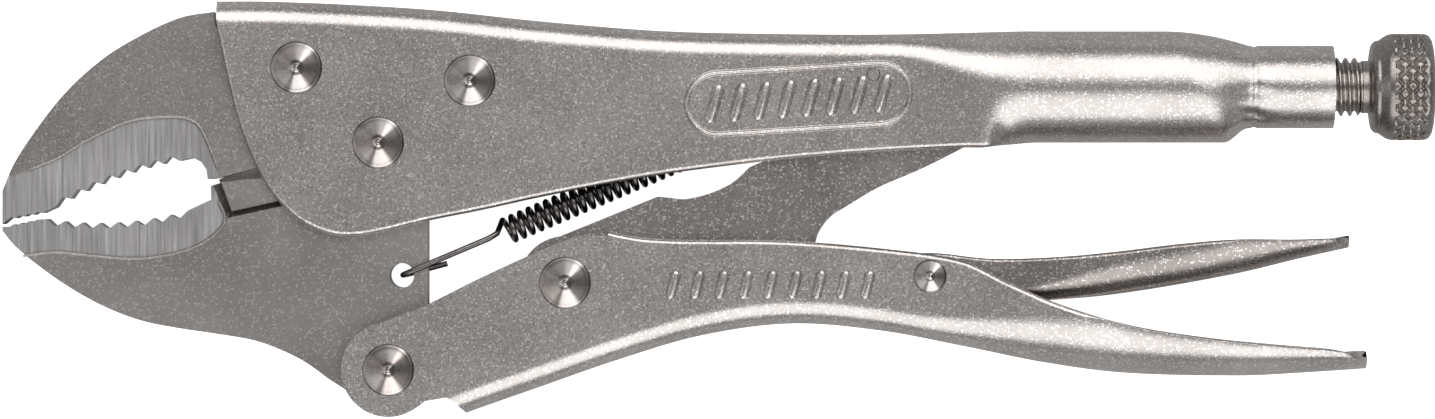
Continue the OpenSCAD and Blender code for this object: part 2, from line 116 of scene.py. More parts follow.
# Tools reach this far, well past every piece.
FAR = 20.0
BORE_DEPTH = 2 * FAR
# Marks and cutting tools pass this far through a face, so that no gap or thin skin is left.
OVERLAP = 0.02

# --- curves ------------------------------------------------------------------------------


def mix(a: float, b: float, share: float) -> float:
    """The value a share of the way from a to b."""
    return a + (b - a) * share


def ease(share: float) -> float:
    """A smooth step from 0 to 1."""
    held = max(0.0, min(1.0, share))
    return held * held * (3 - 2 * held)


def smooth(keys: Sequence[Point], steps: int) -> list[Point]:
    """A smooth curve through key points.

    Args:
        keys: The points that the curve passes through.
        steps: How many points each span is cut into.

    Returns:
        The curve's points, the last key included.
    """
    found: list[Point] = []
    last = len(keys) - 1
    for i in range(last):
        a, b, c, d = (keys[max(0, min(last, i + k))] for k in (-1, 0, 1, 2))
        for j in range(steps):
            u = j / steps
            found.append(tuple(
                0.5 * (2 * b[n] + (c[n] - a[n]) * u + (2 * a[n] - 5 * b[n] + 4 * c[n] - d[n]) * u * u
                       + (3 * b[n] - a[n] - 3 * c[n] + d[n]) * u ** 3) for n in (0, 1)))
    found.append(keys[last])
    return found


def arc(centre: Sequence[float], radius: float, start: float, end: float, steps: int) -> list[Point]:
    """Points on an arc, from the start angle to the end angle in degrees."""
    angles = [math.radians(mix(start, end, i / steps)) for i in range(steps + 1)]
    return [(centre[0] + radius * math.cos(a), centre[1] + radius * math.sin(a)) for a in angles]


def along(start: float, end: float, keys: Sequence[Point]) -> list[Point]:
    """Keys given as a share of the way from start to end, as lengths."""
    return [(mix(start, end, share), height) for share, height in keys]


def evenly(points: Sequence[Point], spacing: float) -> list[Point]:
    """The same path with points about the given spacing apart."""
    lengths = [0.0]
    for a, b in zip(points, points[1:]):
        lengths.append(lengths[-1] + math.dist(a, b))
    count = max(2, round(lengths[-1] / spacing))
    found, i = [], 0
    for k in range(count + 1):
        want = lengths[-1] * k / count
        while i < len(points) - 2 and lengths[i + 1] < want:
            i += 1
        u = (want - lengths[i]) / max(1e-9, lengths[i + 1] - lengths[i])
        found.append((mix(points[i][0], points[i + 1][0], u), mix(points[i][1], points[i + 1][1], u)))
    return found


@dataclass(frozen=True)
class Line:
    """A smooth height over X, through keys whose X rises."""

    keys: tuple[Point, ...]

    def at(self, x: float) -> float:
        """The line's height at x; it runs on level past its ends."""
        keys = self.keys
        if x <= keys[0][0]:
            return keys[0][1]
        if x >= keys[-1][0]:
            return keys[-1][1]
        i = max(k for k in range(len(keys) - 1) if keys[k][0] <= x)
        (x0, y0), (x1, y1) = keys[i], keys[i + 1]
        u, run = (x - x0) / (x1 - x0), x1 - x0
        m0, m1 = self.slope(i) * run, self.slope(i + 1) * run
        return ((2 * u ** 3 - 3 * u * u + 1) * y0 + (u ** 3 - 2 * u * u + u) * m0
                + (3 * u * u - 2 * u ** 3) * y1 + (u ** 3 - u * u) * m1)

    def slope(self, i: int) -> float:
        """The line's slope at key i."""
        a = self.keys[max(0, i - 1)]
        b = self.keys[min(len(self.keys) - 1, i + 1)]
        return (b[1] - a[1]) / (b[0] - a[0])


# --- bench tools -------------------------------------------------------------------------


def select_only(obj: bpy.types.Object) -> None:
    """Makes obj the one selected and active object."""
    bpy.ops.object.select_all(action="DESELECT")
    obj.select_set(True)
    bpy.context.view_layer.objects.active = obj


def apply_modifier(obj: bpy.types.Object, name: str) -> None:
    """Applies one modifier of obj."""
    select_only(obj)
    bpy.ops.object.modifier_apply(modifier=name)


def tidy_normals(obj: bpy.types.Object, merge: float = 0.002) -> None:
    """Merges doubled vertices and turns every face outwards."""
    select_only(obj)
    bpy.ops.object.mode_set(mode="EDIT")
    bpy.ops.mesh.select_all(action="SELECT")
    bpy.ops.mesh.remove_doubles(threshold=merge)
    bpy.ops.mesh.normals_make_consistent(inside=False)
    bpy.ops.object.mode_set(mode="OBJECT")


def take_new(name: str) -> bpy.types.Object:
    """Names the primitive that was just added."""
    obj = bpy.context.active_object
    obj.name = name
    obj.data.name = name
    return obj


def loft(name: str, low: Sequence[Point], high: Sequence[Point], z_low: float,
         z_high: float) -> bpy.types.Object:
    """A closed block between two outlines that have the same number of points.

    Args:
        name: The new object's name.
        low: The outline at the lower face.
        high: The outline at the upper face.
        z_low: Height of the lower face.
        z_high: Height of the upper face.

    Returns:
        The new object.
    """
    bpy.ops.object.select_all(action="DESELECT")
    bpy.ops.mesh.primitive_circle_add(vertices=len(low), radius=1, fill_type="NGON")
    obj = take_new(name)
    for vertex, (x, y) in zip(obj.data.vertices, low):
        vertex.co = (x, y, z_low)
    bpy.ops.object.mode_set(mode="EDIT")
    bpy.ops.mesh.select_all(action="SELECT")
    bpy.ops.mesh.extrude_region_move(TRANSFORM_OT_translate={"value": (0, 0, z_high - z_low)})
    bpy.ops.object.mode_set(mode="OBJECT")
    raised = [v for v in obj.data.vertices if abs(v.co.z - z_high) < 1e-4]
    for vertex in raised:
        i = min(range(len(low)), key=lambda k: math.dist(low[k], vertex.co.xy))
        vertex.co.xy = high[i]
    tidy_normals(obj, 0.0001)
    return obj


def plate(name: str, outline: Sequence[Point], z_low: float, z_high: float) -> bpy.types.Object:
    """A block with upright sides over an outline."""
    return loft(name, outline, outline, z_low, z_high)


def carve(obj: bpy.types.Object, *tools: bpy.types.Object) -> None:
    """Cuts the tools' shapes out of obj and throws the tools away."""
    for tool in tools:
        cut = obj.modifiers.new("cut", "BOOLEAN")
        cut.operation = "DIFFERENCE"
        cut.solver = "EXACT"
        cut.object = tool
        apply_modifier(obj, "cut")
        bpy.data.objects.remove(tool)


def round_edges(obj: bpy.types.Object, width: float, segments: int,
                chosen: Callable[[Vector, Vector], bool]) -> None:
    """Rounds the edges whose two ends the test accepts.

    Args:
        obj: The piece.
        width: How far the rounding reaches from the edge.
        segments: How many faces round the edge.
        chosen: The test of an edge's two ends.
    """
    select_only(obj)
    bpy.ops.object.mode_set(mode="EDIT")
    bpy.ops.mesh.select_mode(type="EDGE")
    bpy.ops.mesh.select_all(action="DESELECT")
    bpy.ops.object.mode_set(mode="OBJECT")
    vertices = obj.data.vertices
    for edge in obj.data.edges:
        edge.select = chosen(vertices[edge.vertices[0]].co, vertices[edge.vertices[1]].co)
    bpy.ops.object.mode_set(mode="EDIT")
    bpy.ops.mesh.bevel(offset=width, segments=segments, affect="EDGES", clamp_overlap=True)
    bpy.ops.object.mode_set(mode="OBJECT")


def soften(obj: bpy.types.Object, width: float, segments: int = 2, angle: float = 40) -> None:
    """Rounds every edge sharper than the angle, in degrees."""
    bevel = obj.modifiers.new("soften", "BEVEL")
    bevel.width = width
    bevel.segments = segments
    bevel.limit_method = "ANGLE"
    bevel.angle_limit = math.radians(angle)
    apply_modifier(obj, "soften")


def turned(name: str, profile: Sequence[Point], steps: int) -> bpy.types.Object:
    """A solid of revolution about Z, from a closed profile of (radius, height) points."""
    bpy.ops.object.select_all(action="DESELECT")
    bpy.ops.mesh.primitive_circle_add(vertices=len(profile), radius=1, fill_type="NOTHING")
    obj = take_new(name)
    for vertex, (radius, height) in zip(obj.data.vertices, profile):
        vertex.co = (radius, 0, height)
    bpy.ops.object.mode_set(mode="EDIT")
    bpy.ops.mesh.select_all(action="SELECT")
    bpy.ops.mesh.spin(steps=steps, angle=2 * math.pi, center=(0, 0, 0), axis=(0, 0, 1))
    bpy.ops.object.mode_set(mode="OBJECT")
    tidy_normals(obj)
    return obj


def shut(section: Sequence[Vector]) -> list[Vector]:
    """The section folded onto its own middle, which closes an end."""
    return [(a + b) / 2 for a, b in zip(section, reversed(section))]


def formed(name: str, sections: Sequence[Sequence[Vector]], closed_ends: bool = True) -> bpy.types.Object:
    """A skin over closed sections, pressed from a flat blank that has one row for each section.

    Args:
        name: The new object's name.
        sections: Loops of points, all with the same count.
        closed_ends: Whether the first and last loops are filled.

    Returns:
        The new object.
    """
    if closed_ends:
        sections = [shut(sections[0]), *sections, shut(sections[-1])]
    around, rows = len(sections[0]), len(sections)
    bpy.ops.object.select_all(action="DESELECT")
    bpy.ops.mesh.primitive_grid_add(x_subdivisions=around, y_subdivisions=rows - 1, size=1)
    obj = take_new(name)
    flat = [c for loop in sections for k in range(around + 1) for c in loop[k % around]]
    obj.data.vertices.foreach_set("co", flat)
    tidy_normals(obj, 0.0005)
    return obj


def joined(obj: bpy.types.Object, *others: bpy.types.Object) -> bpy.types.Object:
    """Joins other objects into obj."""
    select_only(obj)
    for other in others:
        other.select_set(True)
    bpy.ops.object.join()
    return obj


def drill(obj: bpy.types.Object, centre: Point, radius: float, vertices: int = 64) -> None:
    """Bores a round hole right through obj."""
    bpy.ops.object.select_all(action="DESELECT")
    bpy.ops.mesh.primitive_cylinder_add(vertices=vertices, radius=radius, depth=BORE_DEPTH,
                                        location=(*centre, 0))
    carve(obj, take_new("bore"))


def dress(obj: bpy.types.Object, *metals: "Metal") -> None:
    """Gives obj its finishes in place of what its tools left on it."""
    obj.data.materials.clear()
    for metal in metals:
        obj.data.materials.append(finish(metal))


def finish_piece(obj: bpy.types.Object, body: Body, slot: str, *nodes: str,
                 smooth_angle: float = 40) -> bpy.types.Object:
    """Sets a bench piece into the frame and hands it to the body that it rides on.

    Args:
        obj: The piece, in bench millimetres.
        body: The body that it rides on.
        slot: The record's material slot; not used.
        nodes: The CAD nodes that it stands for.
        smooth_angle: Edges sharper than this many degrees stay sharp.

    Returns:
        The piece.
    """
    obj.data.transform(Matrix.Translation(PIVOT) @ Matrix.Scale(MM, 4))
    select_only(obj)
    bpy.ops.object.shade_smooth_by_angle(angle=math.radians(smooth_angle))
    weigh = obj.modifiers.new("weigh", "WEIGHTED_NORMAL")
    weigh.keep_sharp = True
    weigh.weight = 90
    apply_modifier(obj, "weigh")
    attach(obj, body.value)
    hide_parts(*nodes)
    log.info("%s: %d faces on %s", obj.name, len(obj.data.polygons), body.value)
    return obj


# --- finishes ----------------------------------------------------------------------------


def linear(hex_colour: str, alpha: float = 1.0) -> tuple[float, float, float, float]:
    """Turns an sRGB hex colour into linear light."""
    parts = [int(hex_colour[i:i + 2], 16) / 255 for i in (1, 3, 5)]
    return (*[c / 12.92 if c <= 0.04045 else ((c + 0.055) / 1.055) ** 2.4 for c in parts], alpha)


def per_metre(size_mm: float) -> float:
    """The texture scale whose features are about size_mm across."""
    return 1 / (size_mm * MM)


def add(tree: bpy.types.NodeTree, kind: str, links: dict | None = None, **settings: object) -> bpy.types.Node:
    """Adds one shader node.

    Args:
        tree: The node tree.
        kind: The node's type name.
        links: Input name or index to the output socket or the value it takes.
        settings: Properties of the node.

    Returns:
        The new node.
    """
    node = tree.nodes.new(kind)
    for name, value in settings.items():
        setattr(node, name, value)
    for key, value in (links or {}).items():
        if isinstance(value, bpy.types.NodeSocket):
            tree.links.new(value, node.inputs[key])
        else:
            node.inputs[key].default_value = value
    return node


@dataclass(frozen=True)
class Metal:
    """A bare or plated metal with fine grain.

    The grain moves the surface's slope, its roughness and its colour, and flecks of bright metal
    glitter between darker pits.

    Attributes:
        name: What the metal is.
        light: The lighter of its two clouded colours.
        dark: The darker one.
        roughness: Roughness in the middle of its range.
        grain_mm: Width of a grain.
        grain_depth_mm: How deep the grain is.
        sparkle: How strong the flecks are, from 0 to 1.
        stretch: Scale of the grain along each axis; below 1 draws it out into lines.
        wave_mm: Width of the broad waves.
        wave_depth_mm: How deep the waves are.
        turning_marks_and_painted_wedges: Whether turning marks run round the piece's own UV map, with painted
            highlight and shade wedges laid round it.
        anisotropy: How far the turning marks draw out the highlights.
        tint: Colour of faint heat or handling stains.
        tint_share: How strong the stains are.
        fleck_mm: Spacing of the flecks, drawn a little coarser than the real blast so that they show.
    """

    name: str
    light: str
    dark: str
    roughness: float
    grain_mm: float
    grain_depth_mm: float
    sparkle: float = 0.5
    stretch: tuple[float, float, float] = (1, 1, 1)
    wave_mm: float = 6.0
    wave_depth_mm: float = 0.0
    turning_marks_and_painted_wedges: bool = False
    anisotropy: float = 0.0
    tint: str = "#000000"
    tint_share: float = 0.0
    fleck_mm: float = 0.36

    GLINT = "#ffffff"
    PIT = "#3a3735"
    PIT_SHARE = 0.35
    # Painted highlight and shade wedges round a turned head: place round the head, as a share of a turn, and
    # how bright the head is painted there.
    PAINTED_LIGHT_WEDGES = ((0.0, 0.16), (0.1, 0.2), (0.15, 0.95), (0.2, 0.4), (0.28, 0.2), (0.36, 0.22), (0.44, 0.55),
              (0.55, 0.7), (0.63, 0.5), (0.69, 0.2), (0.73, 0.85), (0.82, 1.0), (0.87, 0.2), (1.0, 0.16))

    def paint_light_wedges(self, tree: bpy.types.NodeTree, colour: bpy.types.NodeSocket) -> bpy.types.NodeSocket:
        """Paints highlight and shade wedges into a turned face's colour, where turning marks would gather the
        light.

        Args:
            tree: The node tree.
            colour: The face's colour.

        Returns:
            The shaded colour.
        """
        uv = add(tree, "ShaderNodeUVMap", uv_map="turning").outputs[0]
        around = add(tree, "ShaderNodeSeparateXYZ", {0: uv}).outputs[0]
        share = add(tree, "ShaderNodeMath", {0: around, 1: 0.5 / math.pi}, operation="MULTIPLY").outputs[0]
        share = add(tree, "ShaderNodeMath", {0: share}, operation="FRACT").outputs[0]
        ramp = add(tree, "ShaderNodeValToRGB", {0: share})
        ramp.color_ramp.interpolation = "EASE"
        stops = ramp.color_ramp.elements
        for place, shade in self.PAINTED_LIGHT_WEDGES[1:-1]:
            stops.new(place)
        for stop, (place, shade) in zip(sorted(stops, key=lambda stop: stop.position), self.PAINTED_LIGHT_WEDGES):
            stop.color = (shade, shade, shade, 1)
        return add(tree, "ShaderNodeMix", {0: 1.0, 6: colour, 7: ramp.outputs[0]}, data_type="RGBA",
                   blend_type="MULTIPLY").outputs[2]

    def make(self) -> bpy.types.Material:
        """Builds the node material."""
        material = bpy.data.materials.new(self.name)
        material.use_nodes = True
        tree = material.node_tree
        tree.nodes.clear()
        place = add(tree, "ShaderNodeTexCoord").outputs["Object"]
        stretched = add(tree, "ShaderNodeMapping", {"Vector": place, "Scale": self.stretch}).outputs[0]
        grain = add(tree, "ShaderNodeTexNoise", {"Vector": stretched, "Scale": per_metre(self.grain_mm),
                                                 "Detail": 3.0, "Roughness": 0.6}).outputs["Fac"]
        wave = add(tree, "ShaderNodeTexNoise", {"Vector": place, "Scale": per_metre(self.wave_mm),
                                                "Detail": 3.0}).outputs["Fac"]
        cloud = add(tree, "ShaderNodeTexNoise", {"Vector": place, "Scale": per_metre(self.wave_mm * 2.3),
                                                 "Detail": 4.0}).outputs["Fac"]
        fleck = add(tree, "ShaderNodeTexVoronoi", {"Vector": stretched, "Scale": per_metre(self.fleck_mm)})
        bright = add(tree, "ShaderNodeSeparateXYZ", {0: fleck.outputs["Color"]}).outputs[0]
        chosen = add(tree, "ShaderNodeMapRange", {"Value": bright, "From Min": 0.6, "From Max": 0.9,
                                                  "To Max": self.sparkle}).outputs[0]
        dot = add(tree, "ShaderNodeMapRange", {"Value": fleck.outputs["Distance"], "From Min": 0.62,
                                               "From Max": 0.3}).outputs[0]
        glint = add(tree, "ShaderNodeMath", {0: chosen, 1: dot}, operation="MULTIPLY").outputs[0]
        pit = add(tree, "ShaderNodeMapRange", {"Value": grain, "From Min": 0.42, "From Max": 0.3}).outputs[0]
        lift = add(tree, "ShaderNodeMapRange", {"Value": cloud, "From Min": 0.3, "From Max": 0.7}).outputs[0]
        colour = add(tree, "ShaderNodeMix", {0: lift, 6: linear(self.dark), 7: linear(self.light)},
                     data_type="RGBA").outputs[2]
        colour = add(tree, "ShaderNodeMix", {0: glint, 6: colour, 7: linear(self.GLINT)},
                     data_type="RGBA").outputs[2]
        pit = add(tree, "ShaderNodeMath", {0: pit, 1: self.PIT_SHARE * self.sparkle},
                  operation="MULTIPLY").outputs[0]
        colour = add(tree, "ShaderNodeMix", {0: pit, 6: colour, 7: linear(self.PIT)},
                     data_type="RGBA").outputs[2]
        if self.tint_share:
            patch = add(tree, "ShaderNodeMapRange", {"Value": cloud, "From Min": 0.45, "From Max": 0.62,
                                                     "To Max": self.tint_share}).outputs[0]
            colour = add(tree, "ShaderNodeMix", {0: patch, 6: colour, 7: linear(self.tint)},
                         data_type="RGBA").outputs[2]
        # Turned heads get painted highlight and shade wedges multiplied into their colour.
        if self.turning_marks_and_painted_wedges:
            colour = self.paint_light_wedges(tree, colour)
        rough = add(tree, "ShaderNodeMapRange", {"Value": grain, "From Min": 0.3, "From Max": 0.7,
                                                 "To Min": self.roughness * 0.8,
                                                 "To Max": self.roughness * 1.2}).outputs[0]
        bump = add(tree, "ShaderNodeBump", {"Height": grain, "Distance": self.grain_depth_mm * MM}).outputs[0]
        if self.wave_depth_mm:
            bump = add(tree, "ShaderNodeBump", {"Height": wave, "Distance": self.wave_depth_mm * MM,
                                                "Normal": bump}).outputs[0]
        shader = add(tree, "ShaderNodeBsdfPrincipled", {
            "Base Color": colour, "Metallic": 1.0, "Roughness": rough, "Normal": bump,
            "Anisotropic": self.anisotropy})
        if self.turning_marks_and_painted_wedges:
            tangent = add(tree, "ShaderNodeTangent", direction_type="UV_MAP", uv_map="turning")
            tree.links.new(tangent.outputs[0], shader.inputs["Tangent"])
        out = add(tree, "ShaderNodeOutputMaterial")
        tree.links.new(shader.outputs[0], out.inputs[0])
        return material


# Nickel plate over shot-blasted sheet: satin, with a glittering grain about as coarse as the blast.
SATIN_PLATE = Metal("satin_nickel_plate", "#cec9c5", "#bab4b0", 0.28, 0.3, 0.024, 0.95, wave_depth_mm=0.03)
# The same plate on the thinner link and lever, a little darker.
LINK_PLATE = Metal("satin_nickel_link_plate", "#aaa39f", "#958f8b", 0.3, 0.3, 0.022, 0.7, wave_depth_mm=0.03)
# Plated forging: duller, with a finer grain and faint hammer waves.
FORGED_PLATE = Metal("matt_plated_forging", "#a8a39f", "#8f8985", 0.38, 0.28, 0.022, 0.3, wave_mm=9,
                     wave_depth_mm=0.06)
# Ground grip faces: grinding lines run across the jaws.
GROUND_STEEL = Metal("ground_steel", "#c9c7c5", "#b4b2b0", 0.36, 0.34, 0.006, 0.3, stretch=(1, 0.03, 1))
# Rivet heads turned by the heading tool, faintly browned, with highlight and shade wedges painted round each
# head.
RIVET_WITH_PAINTED_WEDGES = Metal("headed_rivet_steel_painted_wedges", "#eae5e3", "#d8d1cd", 0.27, 0.5, 0.001, 0.05, wave_mm=3,
                     turning_marks_and_painted_wedges=True, anisotropy=0.6, tint="#c9b0a4", tint_share=0.4)
# Oiled dark spring wire.
SPRING_WIRE = Metal("oiled_spring_wire", "#868280", "#5a5756", 0.2, 0.4, 0.004, 0.1)
# Rolled thread, brighter on the crests.
ROLLED_THREAD = Metal("rolled_thread_steel", "#b2aba7", "#958f8b", 0.25, 0.4, 0.006, 0.2)
# Knurled knob, dull in the grooves.
KNURLED_STEEL = Metal("knurled_steel", "#a49d98", "#837d78", 0.3, 0.35, 0.012, 0.3)


# --- folded sheet ------------------------------------------------------------------------


@dataclass(frozen=True)
class Channel:
    """A U-shaped channel folded from sheet, which may swell and close into a tube.

    Attributes:
        sheet: Sheet thickness.
        fold: Which way the fold lies from the legs.
        crown: Height of the fold line over X.
        lip: Height of the legs' free edge over X.
        half: Half width over X.
        radius: Outer radius of the fold over X, as (along the legs, across them).
        close: 0 for an open channel up to 1 for a tube, over X.
    """

    sheet: float
    fold: Fold
    crown: Callable[[float], float]
    lip: Callable[[float], float]
    half: Callable[[float], float]
    radius: Callable[[float], Point]
    close: Callable[[float], float] = lambda x: 0.0

    LEG_STEPS = 14
    FOLD_STEPS = 14
    LIP_STEPS = 4
    # Roundings of the free edge as shares of the sheet, outside and inside.
    OUTER_LIP = 0.3
    INNER_LIP = 0.16
    # Where the tube's seam lies on each side, in degrees from level.
    SEAM_ANGLE = -89

    def side(self, x: float, inset: float) -> list[Point]:
        """One half of the section as (height, width), from the free edge up to the fold line.

        Args:
            x: Where the section is taken.
            inset: How far inside the outer skin, 0 for the outer skin.

        Returns:
            The points.
        """
        up, closed = self.fold.value, self.close(x)
        width = self.half(x) - inset
        tall, wide = (max(0.5, r - inset) for r in self.radius(x))
        wide = min(wide, width - 0.3)
        crown = self.crown(x) - up * inset
        centre = crown - up * tall
        lip = self.lip(x)
        round_w = self.sheet * (self.INNER_LIP if inset else self.OUTER_LIP)
        steep = math.hypot(1, self.lip(x + 0.5) - self.lip(x - 0.5))
        round_h = min(round_w * steep, 0.9 * abs(centre - lip))
        bottom = math.radians(self.SEAM_ANGLE)
        seam = (centre + up * tall * math.sin(bottom), tall * math.cos(bottom))
        found: list[Point] = []
        for j in range(self.LIP_STEPS):
            turn = math.pi / 2 * j / self.LIP_STEPS
            inwards = round_w * (1 - math.sin(turn)) * (-1 if inset else 1)
            leg = (lip + up * round_h * (1 - math.cos(turn)), width - inwards)
            found.append((mix(leg[0], seam[0], closed), mix(leg[1], seam[1], closed)))
        for j in range(self.LEG_STEPS + 1):
            u = j / self.LEG_STEPS
            turn = mix(bottom, 0, u)
            leg = (mix(lip + up * round_h, centre, u), width)
            shell = (centre + up * tall * math.sin(turn), tall * math.cos(turn))
            found.append((mix(leg[0], shell[0], closed), mix(leg[1], shell[1], closed)))
        for k in range(1, self.FOLD_STEPS + 1):
            turn = math.pi / 2 * k / self.FOLD_STEPS
            found.append((crown - up * tall * (1 - math.sin(turn)), width - wide + wide * math.cos(turn)))
        return found

    def section(self, x: float) -> list[Vector]:
        """The closed section at x."""
        outer, inner = self.side(x, 0), self.side(x, self.sheet)
        loop = outer + [(y, -z) for y, z in reversed(outer[:-1])]
        loop += [(y, -z) for y, z in inner] + [(y, z) for y, z in reversed(inner[:-1])]
        return [Vector((x, y, z)) for y, z in loop]

    def build(self, name: str, stations: Sequence[float]) -> bpy.types.Object:
        """Presses the channel from a flat blank."""
        return formed(name, [self.section(x) for x in stations])


def span(start: float, end: float, count: int) -> list[float]:
    """count steps from start to end."""
    return [mix(start, end, i / count) for i in range(count + 1)]


def round_end(x: float, end: float, length: float = 8.0, blunt: float = 0.45) -> float:
    """The share of a paddle's width that is left at x, near its round end."""
    u = max(0.0, min(1.0, (x - end + length) / length))
    return mix(1.0, math.sqrt(1 - 0.999 * u ** 3), 1 - blunt)


@dataclass
class Rivet:
    """A headed rivet with turned, slightly hollowed faces and a pip in the middle."""

    name: str
    centre: Vector
    body: Body
    shank_d: float = 7.0
    head_d: float = 8.7
    cone_slope: float = 0.2
    seat_z: float = SEAT_Z
    cheek_z: float = CHEEK_HALF
    head_h: float = 1.2
    pip_d: float = 0.9
    spin_steps: int = 96

    def profile(self) -> list[Point]:
        """The closed half section as (radius, height)."""
        rim, top = self.head_d / 2, self.cheek_z + self.head_h
        shoulder = rim * 0.86
        cone = top - 0.16 - (shoulder - self.pip_d) * self.cone_slope
        half = [(0.02, top - 0.2), (self.pip_d * 0.3, top - 0.22), (self.pip_d * 0.5, top - 0.3),
                (self.pip_d * 0.66, top - 0.26), (self.pip_d, top - 0.16)]
        half += [(mix(self.pip_d, shoulder, u), mix(top - 0.16, cone, u) - 0.1 * u * u)
                 for u in (0.2, 0.4, 0.6, 0.8, 1.0)]
        edge = half[-1][1]
        half += [(mix(shoulder, rim, math.sin(a)), mix(self.seat_z + 0.42, edge, math.cos(a)))
                 for a in (math.radians(15 * k) for k in range(1, 7))]
        half += [(rim, self.seat_z), (self.shank_d / 2, self.seat_z)]
        return half + [(r, -z) for r, z in reversed(half)]

    def build(self) -> bpy.types.Object:
        """Turns the rivet and dresses it."""
        obj = turned(self.name, self.profile(), self.spin_steps)
        self.wrap(obj)
        obj.data.transform(Matrix.Translation((self.centre.x, self.centre.y, 0)))
        obj.data.materials.append(finish(RIVET_WITH_PAINTED_WEDGES))
        return finish_piece(obj, self.body, "rivet_steel", self.name)

    def wrap(self, obj: bpy.types.Object) -> None:
        """Lays out UVs that run round the axis, for the turning marks and the painted highlight and shade
        wedges.
        """
        layer = obj.data.uv_layers.new(name="turning")
        for polygon in obj.data.polygons:
            middle = math.atan2(polygon.center.y, polygon.center.x)
            for loop in polygon.loop_indices:
                at = obj.data.vertices[obj.data.loops[loop].vertex_index].co
                turn = math.atan2(at.y, at.x)
                turn += 2 * math.pi * round((middle - turn) / (2 * math.pi))
                layer.data[loop].uv = (turn, at.xy.length)


MADE: dict[str, bpy.types.Material] = {}


def finish(metal: Metal) -> bpy.types.Material:
    """The material for a finish, built once."""
    if metal.name not in MADE:
        MADE[metal.name] = metal.make()
    return MADE[metal.name]


def seats(obj: bpy.types.Object, places: Sequence[Point], shank_r: float = RIVET_R,
          head_r: float = SEAT_R) -> None:
    """Bores obj for rivets and sinks a seat for each head into both cheeks.

    Args:
        obj: The handle.
        places: The rivets' centres.
        shank_r: Radius of the bore.
        head_r: Radius of the seat.
    """
    far, core = 30, 0.001
    for x, y in places:
        profile = [(shank_r, -SEAT_Z), (shank_r, SEAT_Z), (head_r, SEAT_Z), (head_r, far), (core, far),
                   (core, -far), (head_r, -far), (head_r, -SEAT_Z)]
        tool = turned("seat_tool", profile, 64)
        tool.data.transform(Matrix.Translation((x, y, 0)))
        carve(obj, tool)


# --- raised marks ------------------------------------------------------------------------


@dataclass(frozen=True)
class Emboss:
    """Plain raised marks on a cheek: rounded bars, and an optional racetrack border."""

    centre: Point
    length: float
    height: float
    tilt: float
    bars: int
    bar_width: float
    bar_lean: float
    rise: float
    border: bool = True
    border_width: float = 0.8

    def on_cheek(self, x: float, y: float) -> Point:
        """A place in the mark's own axes, put on the cheek."""
        turn = math.radians(self.tilt)
        return (self.centre[0] + x * math.cos(turn) - y * math.sin(turn),
                self.centre[1] + x * math.sin(turn) + y * math.cos(turn))

    def racetrack(self) -> list[Point]:
        """The border's closed path, the first point repeated at the end."""
        radius = self.height / 2
        straight = self.length / 2 - radius
        path = arc((straight, 0), radius, -90, 90, 16) + arc((-straight, 0), radius, 90, 270, 16)
        return [self.on_cheek(x, y) for x, y in path + path[:1]]

    def bar_paths(self) -> list[list[Point]]:
        """The leaning bars, each as a straight path."""
        reach = self.length / 2 - self.height * 0.45 if self.border else self.length / 2
        tall = self.height * (0.3 if self.border else 0.5)
        paths = []
        for i in range(self.bars):
            x = mix(-reach, reach, i / (self.bars - 1))
            lean = self.bar_lean * tall
            paths.append([self.on_cheek(mix(x - lean, x + lean, u), mix(-tall, tall, u))
                          for u in (0, 0.1, 0.5, 0.9, 1)])
        return paths

    def build(self, cheek: Callable[[float, float], float]) -> list[bpy.types.Object]:
        """Raises the marks.

        Args:
            cheek: Height of the cheek's face over (x, y).

        Returns:
            The new objects.
        """
        made = [bead(path, self.bar_width, self.rise, cheek) for path in self.bar_paths()]
        if self.border:
            made.append(bead(evenly(self.racetrack(), 0.9), self.border_width, self.rise, cheek))
        return made


def bead(path: Sequence[Point], width: float, rise: float,
         cheek: Callable[[float, float], float]) -> bpy.types.Object:
    """A low rounded bead pressed along a path; a path that ends where it starts is closed.

    Args:
        path: Centre line of the bead.
        width: Width of the bead.
        rise: How far it stands up; below 0 on a face that looks down.
        cheek: Height of the face over (x, y).

    Returns:
        The bead.
    """
    closed = math.dist(path[0], path[-1]) < 1e-6
    flank = ((-0.5, -0.5), (-0.5, 0.0), (-0.36, 0.62), (-0.18, 0.93))
    section = (*flank, (0, 1), *((-across, up) for across, up in reversed(flank)))
    rings = []
    last = len(path) - 1
    for i, (x, y) in enumerate(path):
        before = path[i - 1] if i else path[-2 if closed else 0]
        after = path[i + 1] if i < last else path[1 if closed else last]
        run = Vector((after[0] - before[0], after[1] - before[1])).normalized()
        side = Vector((-run.y, run.x))
        taper = 1.0 if closed or 0 < i < last else 0.55
        ring = []
        for across, up in section:
            px, py = x + side.x * across * width * taper, y + side.y * across * width * taper
            ring.append(Vector((px, py, cheek(px, py) + up * rise * (taper if up > 0 else 1))))
        rings.append(ring)
    return formed("bead", rings, closed_ends=not closed)


# --- fixed handle ------------------------------------------------------------------------


